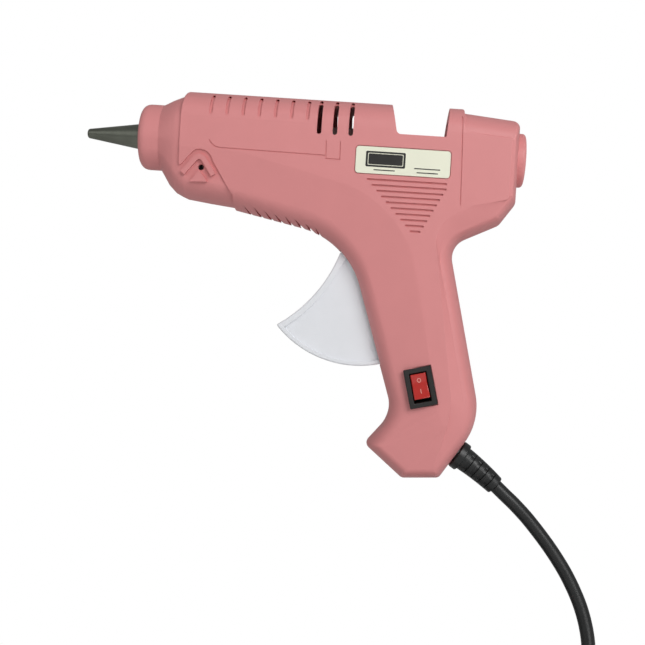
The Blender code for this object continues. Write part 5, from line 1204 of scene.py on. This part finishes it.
def shells():
    """The two moulded halves of the body."""
    reach = HALF_WIDTH + OVERRUN
    hook = prism(
        "hook_cut", [along(a * BARREL_REACH, b * BELLY_DEPTH) for a, b in HOOK_SHARES], -reach, reach
    )
    whole = cut(gun_body("shell_left_skin", 0), [hook])
    join(whole, [snout("snout", 0), stand_details(), inlet_ring()])
    inside = join(gun_body("inside", WALL), [snout("snout_inside", WALL)])
    cut(inside, kept_inside())
    cut(whole, [inside])
    cut(whole, openings())
    cut(whole, [comb("grooves", groove_outlines(), RIB_DEEP)])
    cut(whole, [comb("scallops", scallop_outlines(), SCALLOP_DEEP)])
    lines = [stroke(near_px(points), LINE_HALF) for points in (LINE_PX, TAB_PX, REAR_LINE_PX)]
    cut(whole, [comb("lines", lines, LINE_DEEP)])
    other = added("shell_right_skin", whole.data.copy())
    far = COLLAR_REACH + OVERRUN
    right_half = box("right_half", (-far, -SEAM_GAP / 2, -far), (far, HALF_WIDTH * 2, far))
    left_half = box("left_half", (-far, -HALF_WIDTH * 2, -far), (far, SEAM_GAP / 2, far))
    cut(whole, [right_half, *left_openings()])
    cut(other, [left_half])
    for made, node in ((whole, "shell_left"), (other, "shell_right")):
        tidy_mesh(made)
        dress(made, "pink_plastic", nodes=(node,), smooth=26)


# The nozzle


TIP_REACH = 0.1284
TIP_RADIUS = 0.0019
TIP_SOFT = 0.0010
NOZZLE_RADIUS = 0.0051
NOZZLE_BORE = 0.0011
NOZZLE_BORE_DEPTH = 0.0040
STUB_RADIUS = 0.0040
STUB_REACH = 0.1000
CONE_PIECES = 8


def nozzle():
    """The turned metal nozzle with a rounded tip and its bore."""
    start, wall_back, stub_back = -TIP_REACH + TIP_SOFT, -COLLAR_REACH + WALL, -STUB_REACH - SEAT_GAP
    profile = [(-TIP_REACH + NOZZLE_BORE_DEPTH, NOZZLE_BORE), (-TIP_REACH, NOZZLE_BORE)]
    profile.append((-TIP_REACH, TIP_RADIUS - TIP_SOFT))
    for sine, cosine in quarter():
        profile.append((start - TIP_SOFT * cosine, TIP_RADIUS - TIP_SOFT * (1 - sine)))
    for k in range(1, CONE_PIECES + 1):
        share = k / CONE_PIECES
        reach = start + (-COLLAR_REACH - start) * share
        profile.append((reach, TIP_RADIUS + (NOZZLE_RADIUS - TIP_RADIUS) * share))
    profile += [(wall_back, NOZZLE_RADIUS), (wall_back, STUB_RADIUS)]
    profile += [(stub_back, STUB_RADIUS), (stub_back, NOZZLE_BORE)]
    made = turned("nozzle_cone", profile, closed=True)
    dress(made, "nozzle_metal", nodes=("nozzle",), place=BARREL_FRAME)


# The trigger

TRIGGER_WEB = 0.0064
TRIGGER_HUB = 0.0043
TRIGGER_HUB_HALF = 0.0077
TRIGGER_SOFT = 0.0007
RIM_BAND = 0.0023
FOOT_BAND = 0.0016
POCKET_TRIM = 0.09
FINGER_RADIUS = 0.0550
TRIGGER_TOP_ANGLE = math.radians(158)
TRIGGER_TIP_ANGLE = math.radians(217.5)
TRIGGER_BACK_ANGLE = math.radians(300)
TRIGGER_TIP_TRIM = math.radians(2)
TRIGGER_HUB_ANGLES = (-30, -8, 15, 38, 60, 82, 105)
ARM_PIN_BACK = 0.0132
ARM_PIN_DROP = 0.0119
ARM_EYE = 0.0030
ARM_FOOT = 0.0040
ARM_HALF_THICK = 0.0019
PIN_RADIUS = 0.0013
EAR_REACH = 0.0130
EAR_RADIUS = 0.0026
EAR_HALF_THICK = 0.0030
SPRING_SIDE = 0.0105
SPRING_WIRE = 0.0007
SPRING_POST = 0.0011
MARK_PX = (374, 347.9)
MARK_RADIUS = 0.0015
MARK_CORE = 0.82


def about_hinge(angle, radius):
    """A place of the seam plane at an angle and a distance from the trigger's hinge."""
    return HINGE[0] + radius * math.cos(angle), HINGE[1] + radius * math.sin(angle)


def finger_arc(band, points=40, trim_top=0.0):
    """The hollow edge that the finger pulls, moved into the trigger by a band."""
    top = Vector(about_hinge(TRIGGER_TOP_ANGLE, TRIGGER_TOP_REACH))
    tip = Vector(about_hinge(TRIGGER_TIP_ANGLE, TRIGGER_RADIUS))
    chord = top - tip
    across = Vector((-chord.y, chord.x)).normalized()
    rise = math.sqrt(FINGER_RADIUS**2 - (chord.length / 2) ** 2)
    centre = (top + tip) / 2 + across * rise
    spoke = top - centre
    first = math.atan2(spoke.y, spoke.x)
    spoke = tip - centre
    last = math.atan2(spoke.y, spoke.x)
    last -= math.tau if last > first else 0
    trim = band / FINGER_RADIUS
    return circle(centre.x, centre.y, FINGER_RADIUS + band, points, first - trim - trim_top, last + trim)


def trigger_outline(band, foot_band, trim_top=0.0):
    """The trigger's quadrant, in by a band along the finger's edge and another along the foot."""
    foot_radius = TRIGGER_RADIUS - foot_band
    start = TRIGGER_TIP_ANGLE + TRIGGER_TIP_TRIM + band * 2 / TRIGGER_RADIUS
    foot = circle(*HINGE, foot_radius, 64, start, TRIGGER_BACK_ANGLE - foot_band / TRIGGER_RADIUS)
    hub = [about_hinge(math.radians(angle), TRIGGER_HUB + band) for angle in TRIGGER_HUB_ANGLES]
    return finger_arc(band, trim_top=trim_top) + foot + hub


def trigger():
    """The trigger: a quadrant with a raised band and rim, its hub, its arm and the spring's ear."""
    made = prism("trigger_skin", trigger_outline(0, 0), -TRIGGER_RIM, TRIGGER_RIM)
    bevel(made, TRIGGER_SOFT, 4, 40)
    settle(made)
    spot = near_px([MARK_PX], -TRIGGER_RIM)[0]
    for side in (-1, 1):
        near, far = sorted((side * TRIGGER_WEB, side * (TRIGGER_RIM + OVERRUN)))
        cut(made, [prism("web_pocket", trigger_outline(RIM_BAND, FOOT_BAND, POCKET_TRIM), near, far)])
        near, far = sorted((side * (TRIGGER_WEB - LINE_DEEP), side * (TRIGGER_RIM + OVERRUN)))
        mark, core = (cross_rod("mark", spot, near, far, MARK_RADIUS * share) for share in (1, MARK_CORE))
        cut(made, [cut(mark, [core])])
    hub = cross_rod("hub", HINGE, -TRIGGER_HUB_HALF, TRIGGER_HUB_HALF, TRIGGER_HUB, 40)
    arm_pin = Vector(along(-ARM_PIN_BACK, -ARM_PIN_DROP))
    across = Vector((arm_pin.y - HINGE[1], HINGE[0] - arm_pin.x)).normalized()
    foot = Vector(HINGE)
    outline = [foot - across * ARM_FOOT, arm_pin - across * ARM_EYE]
    outline += [arm_pin + across * ARM_EYE, foot + across * ARM_FOOT]
    arm = prism("arm", [tuple(p) for p in outline], -ARM_HALF_THICK, ARM_HALF_THICK)
    eye = cross_rod("arm_eye", arm_pin, -ARM_HALF_THICK, ARM_HALF_THICK, ARM_EYE)
    ear_place = (HINGE[0] + EAR_REACH, HINGE[1])
    low = (HINGE[0], -EAR_HALF_THICK, HINGE[1] - EAR_RADIUS)
    ear = box("ear", low, (ear_place[0], EAR_HALF_THICK, HINGE[1] + EAR_RADIUS))
    post = cross_rod("ear_post", ear_place, -EAR_HALF_THICK, SPRING_SIDE + SPRING_WIRE * 2, SPRING_POST, 24)
    join(made, [hub, arm, eye, ear, post])
    reach = TRIGGER_HUB_HALF + OVERRUN
    bore = cross_rod("hub_bore", HINGE, -reach, reach, PIVOT_RADIUS + SEAT_GAP)
    eye_bore = cross_rod("eye_bore", arm_pin, -reach, reach, PIN_RADIUS + SEAT_GAP)
    cut(made, [bore, eye_bore])
    tidy_mesh(made)
    dress(made, "white_plastic", "trigger", ("trigger",), smooth=28)


# The switch

BEZEL_THICK = 0.0018
ROCKER_LONG = 0.0096
ROCKER_SHORT = 0.0060
ROCKER_TILT = math.radians(10.0)
ROCKER_RISE = 0.0022
ROCKER_DIP = 0.0010
ROCKER_PIVOT = 0.0010
ROCKER_DEEP = 0.0030
# How far along the rocker its sides and its foot reach, as shares of its half length
ROCKER_SIDE, ROCKER_FOOT = 0.94, 0.40
ROCKER_HOLLOW = 1.5
SWITCH_WELL = 0.0060
BEZEL_SOFT = 0.00035
ROCKER_SOFT = 0.0003
ROCKER_STEPS = 8
OFF_RADIUS = 0.00078
OFF_BORE = 0.00056
OFF_STRETCH = 1.05
OFF_PLACE = 0.48
ON_HALF = 0.00085
ON_HALF_WIDTH = 0.00013
ON_PLACE = -0.40
ROCKER_MARK_PROUD = 0.00012
ROCKER_MARK_DEEP = 0.0004


def switch():
    """The black bezel and body, the red rocker and its two marks."""
    long, short = BEZEL_LONG / 2, BEZEL_SHORT / 2
    made = box("switch_bezel", (-short, -BEZEL_THICK, -long), (short, -SEAT_GAP, long))
    deep = SWITCH_BODY_DEPTH
    long, short = SWITCH_BODY_LONG / 2, SWITCH_BODY_SHORT / 2
    join(made, [box("switch_body", (-short, -BEZEL_THICK / 2, -long), (short, deep, long))])
    swing = math.sin(ROCKER_TILT) * (ROCKER_RISE + ROCKER_PIVOT)
    long, short = ROCKER_LONG / 2 + swing + SEAT_GAP, ROCKER_SHORT / 2 + SEAT_GAP
    cut(made, [box("switch_well", (-short, -BEZEL_THICK - OVERRUN, -long), (short, SWITCH_WELL, long))])
    bevel(made, BEZEL_SOFT)
    dress(made, "black_plastic", nodes=("switch_housing",), place=SWITCH_FRAME)
    rocker()


def on_rocker(x, y, z):
    """A place of the level rocker, turned with it about its pivot."""
    pivot = Vector((ROCKER_PIVOT, 0))
    return (x, *(Matrix.Rotation(-ROCKER_TILT, 2) @ (Vector((y, z)) - pivot) + pivot))


def rocker_face(z):
    """How far out the rocker's hollow face lies at a height."""
    return -ROCKER_DIP - (ROCKER_RISE - ROCKER_DIP) * abs(z / ROCKER_LONG * 2) ** ROCKER_HOLLOW


def rocker():
    """The red rocker with its ring and its bar."""
    half = ROCKER_LONG / 2
    heights = [half * (k / ROCKER_STEPS * 2 - 1) for k in range(ROCKER_STEPS + 1)]
    outline = [(rocker_face(z), z) for z in heights]
    outline += [(ROCKER_PIVOT, half * ROCKER_SIDE), (ROCKER_DEEP, half * ROCKER_FOOT)]
    outline += [(ROCKER_DEEP, -half * ROCKER_FOOT), (ROCKER_PIVOT, -half * ROCKER_SIDE)]
    rings = [[on_rocker(x, y, z) for y, z in outline] for x in (-ROCKER_SHORT / 2, ROCKER_SHORT / 2)]
    made = rings_body("rocker_cap", rings)
    bevel(made, ROCKER_SOFT)
    dress(made, "red_plastic", "switch_rocker", ("switch_rocker",), place=SWITCH_FRAME, smooth=24)
    outer, inner = (
        [(out * math.cos(a), out * OFF_STRETCH * math.sin(a) + half * OFF_PLACE) for a in angles(28)]
        for out in (OFF_RADIUS, OFF_BORE)
    )
    corners = ((-1, -1), (1, -1), (1, 0), (1, 1), (-1, 1), (-1, 0))
    bar = [(x * ON_HALF_WIDTH, z * ON_HALF + half * ON_PLACE) for x, z in corners]
    deep, proud = ROCKER_MARK_DEEP, -ROCKER_MARK_PROUD
    for name, levels in (
        ("off", ((deep, outer), (proud, outer), (proud, inner), (deep, inner))),
        ("on", ((deep, bar), (proud, bar))),
    ):
        rings = [[on_rocker(x, rocker_face(z) + rise, z) for x, z in band] for rise, band in levels]
        mark = rings_body("rocker_mark_" + name, rings, closed=name == "off")
        dress(mark, "red_mark", "switch_rocker", place=SWITCH_FRAME)


# The label


LABEL_THICK = 0.0004
LABEL_SOFT = 0.00012
PRINT_PROUD = 0.00004
# The label's plain prints, in the barrel's frame: field and border as front, back, top, low and corner
# radius, rules as front, back and height.
FIELD = (-0.0187, -0.0037, -0.0020, -0.0079, 0.0005)
BORDER = (-0.0179, -0.0045, -0.0027, -0.0072, 0.0003)
BORDER_WIDTH = 0.00022
RULES = ((-0.0155, -0.0075, -0.0092), (-0.0002, 0.0096, -0.0078), (0.0008, 0.0088, -0.0093))
RULE_HEIGHT = 0.0004


def print_corners(front, back, top, low, radius):
    """A printed block's round corners."""
    return [(u, v, radius, 4) for u, v in ((front, top), (back, top), (back, low), (front, low))]


def label():
    """The label: a cream plate with a plain dark field and plain rules."""
    seat = -HALF_WIDTH + LABEL_SINK - SEAT_GAP
    face = seat - LABEL_THICK
    plate = prism("label_film", label_outline(0), face, seat)
    bevel(plate, LABEL_SOFT, 2)
    dress(plate, "label_plastic", nodes=("label_plate",), place=BARREL_FRAME)
    low, high = face - PRINT_PROUD, face + PRINT_PROUD
    rules = []
    for front, back, v in RULES:
        rules.append([(front, v), (front, v + RULE_HEIGHT), (back, v + RULE_HEIGHT), (back, v)])
    for name, outlines in (("label_field", [rounded(print_corners(*FIELD))]), ("label_rules", rules)):
        made = prisms(name, outlines, low, high)
        dress(made, "label_print", place=BARREL_FRAME)
    edge = print_corners(*BORDER)
    inner = inset(edge, [BORDER_WIDTH] * len(edge))
    top = low - PRINT_PROUD
    levels = ((low, edge), (top, edge), (top, inner), (low, inner))
    rings = [[(u, y, v) for u, v in rounded(outline)] for y, outline in levels]
    dress(rings_body("label_border", rings, closed=True), "label_plastic", place=BARREL_FRAME)


# Fasteners and strain relief


HEAD_THICK = 0.0018
HEAD_EDGE = 0.35
HEAD_FLAT = 0.12
RECESS_LONG, RECESS_THIN, RECESS_DEEP = 0.62, 0.13, 0.55


def screws():
    """The six body screws, with cross recesses in their heads."""
    seat = SCREW_SEAT + SEAT_GAP
    top = seat + HEAD_THICK
    profile = [(-SCREW_BITE, SCREW_RADIUS / 2), (-SCREW_BITE + SCREW_RADIUS, SCREW_RADIUS)]
    profile += [(seat, SCREW_RADIUS), (seat, SCREW_HEAD), (seat + HEAD_THICK * HEAD_EDGE, SCREW_HEAD)]
    for sine, cosine in quarter():
        x = seat + HEAD_THICK * (HEAD_EDGE + (1 - HEAD_EDGE) * sine)
        profile.append((x, SCREW_HEAD * (HEAD_FLAT + (1 - HEAD_FLAT) * cosine)))
    long, thin, deep = SCREW_HEAD * RECESS_LONG, SCREW_HEAD * RECESS_THIN, HEAD_THICK * RECESS_DEEP
    for spot, (x, z) in SCREW_PLACES.items():
        made = turned("screw_" + spot, profile, 40)
        cross = box("cross", (top - deep, -long, -thin), (top + OVERRUN, long, thin))
        join(cross, [box("cross_bar", (top - deep, -thin, -long), (top + OVERRUN, thin, long))])
        cut(made, [cross])
        place = Matrix.Translation((x, 0, z)) @ Matrix.Rotation(math.pi / 2, 4, "Z")
        dress(made, "steel", nodes=("shell_screw_" + spot,), place=place)


RELIEF_FLANGE = 0.0057
RELIEF_COLLAR = 0.0047
RELIEF_COLLAR_THICK = 0.0016
RELIEF_ROOT_RADIUS = 0.0047
RELIEF_END_RADIUS = 0.0038
RELIEF_SLOT_DEEP = 0.0010
RELIEF_SLOTS = 4
# The taper's length in slot pitches, the first slot's place, and a slot's foot and edges in pitches
RELIEF_PITCHES = 4.9
RELIEF_FIRST = 0.55
RELIEF_SLOT = ((0, 0), (0.06, 1), (0.44, 1), (0.50, 0))
RELIEF_SOFT = 0.0005
# Where the middle of a softened corner lies, as a share of its width
SOFT_ARC = 0.3
# The bridges above and below that close the slots: where their side starts and how steep it is.
BRIDGE_EDGE, BRIDGE_RUN = 0.42, 0.10


def strain_relief():
    """The drooping strain relief: a flange, then a taper with slots that two bridges close."""
    root, end, soft = RELIEF_ROOT_RADIUS, RELIEF_END_RADIUS, RELIEF_SOFT
    inner = -WALL - SEAT_GAP
    profile = [(inner - RELIEF_COLLAR_THICK, RELIEF_COLLAR, 0), (inner, RELIEF_COLLAR, 0)]
    profile += [(inner, RELIEF_NECK, 0), (SEAT_GAP, RELIEF_NECK, 0)]
    for place, side in ((SEAT_GAP, 1), (RELIEF_ROOT, -1)):
        corner = [(place, RELIEF_FLANGE - soft, 0)]
        corner.append((place + side * soft * SOFT_ARC, RELIEF_FLANGE - soft * SOFT_ARC, 0))
        corner.append((place + side * soft, RELIEF_FLANGE, 0))
        profile += corner[::side]
    run = RELIEF_LENGTH - RELIEF_ROOT
    profile.append((RELIEF_ROOT, root, 0))
    pitch = run / RELIEF_PITCHES
    for k in range(RELIEF_SLOTS):
        start = RELIEF_ROOT + pitch * (k + RELIEF_FIRST)
        for place, deep in RELIEF_SLOT:
            reach = start + pitch * place
            profile.append((reach, root + (end - root) * (reach - RELIEF_ROOT) / run, deep))
    for sine, cosine in quarter(first=0):
        profile.append((RELIEF_LENGTH - soft * (1 - sine), end - soft * (1 - cosine), 0))
    rings = []
    for reach, radius, deep in profile:
        place = relief_frame(reach)
        ring = []
        for a in angles(72):
            side = min(max((abs(math.cos(a)) - BRIDGE_EDGE) / BRIDGE_RUN, 0), 1)
            r = radius - RELIEF_SLOT_DEEP * deep * side
            ring.append(place @ Vector((0, r * math.cos(a), r * math.sin(a))))
        rings.append(ring)
    dress(rings_body("relief_sleeve", rings), "cord_rubber", nodes=("strain_relief",), smooth=32)


# The scene

SURFACES = materials()

# The surfaces of the nodes that still show, where these aren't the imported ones.
SHOWN_AS = {
    "cast_metal": ("melt_chamber",),
    "ceramic": ("front_washer", "ptc_heater"),
    "silicone": ("inlet_sleeve",),
    "feed_plastic": ("feed_carriage", "cord_clamp"),
    "cord_rubber": ("cord_inner",),
    "lead_cover": ("lead_live", "lead_switched", "lead_neutral"),
    "brass": (
        "heater_electrode_upper", "heater_electrode_lower", "plug_pin_near", "plug_pin_far",
        "switch_terminal_lower", "switch_terminal_upper",
    ),
    "steel": (
        "arm_pin", "carriage_pin", "clamp_screw_lower", "clamp_screw_upper", "feed_link_left",
        "feed_link_right", "grip_jaw", "heater_clip", "return_spring", "sleeve_clamp", "trigger_pin",
    ),
}
SLOT_OF = {node: kind for kind, nodes in SHOWN_AS.items() for node in nodes}


def carried_over():
    """Gives every frame node that still shows its own procedural surface."""
    for name, made in NODES.items():
        kind = made.data.materials[0].name.split(".")[0] if made.data.materials else "steel"
        for slot in made.material_slots:
            slot.material = SURFACES[SLOT_OF.get(name, kind)]


camera()
world()
for lamp_name, settings in LAMPS.items():
    lamp(lamp_name, *settings)
floor()
power_cord()
shells()
nozzle()
trigger()
switch()
label()
screws()
strain_relief()
carried_over()
bpy.context.scene.view_settings.view_transform = "Standard"
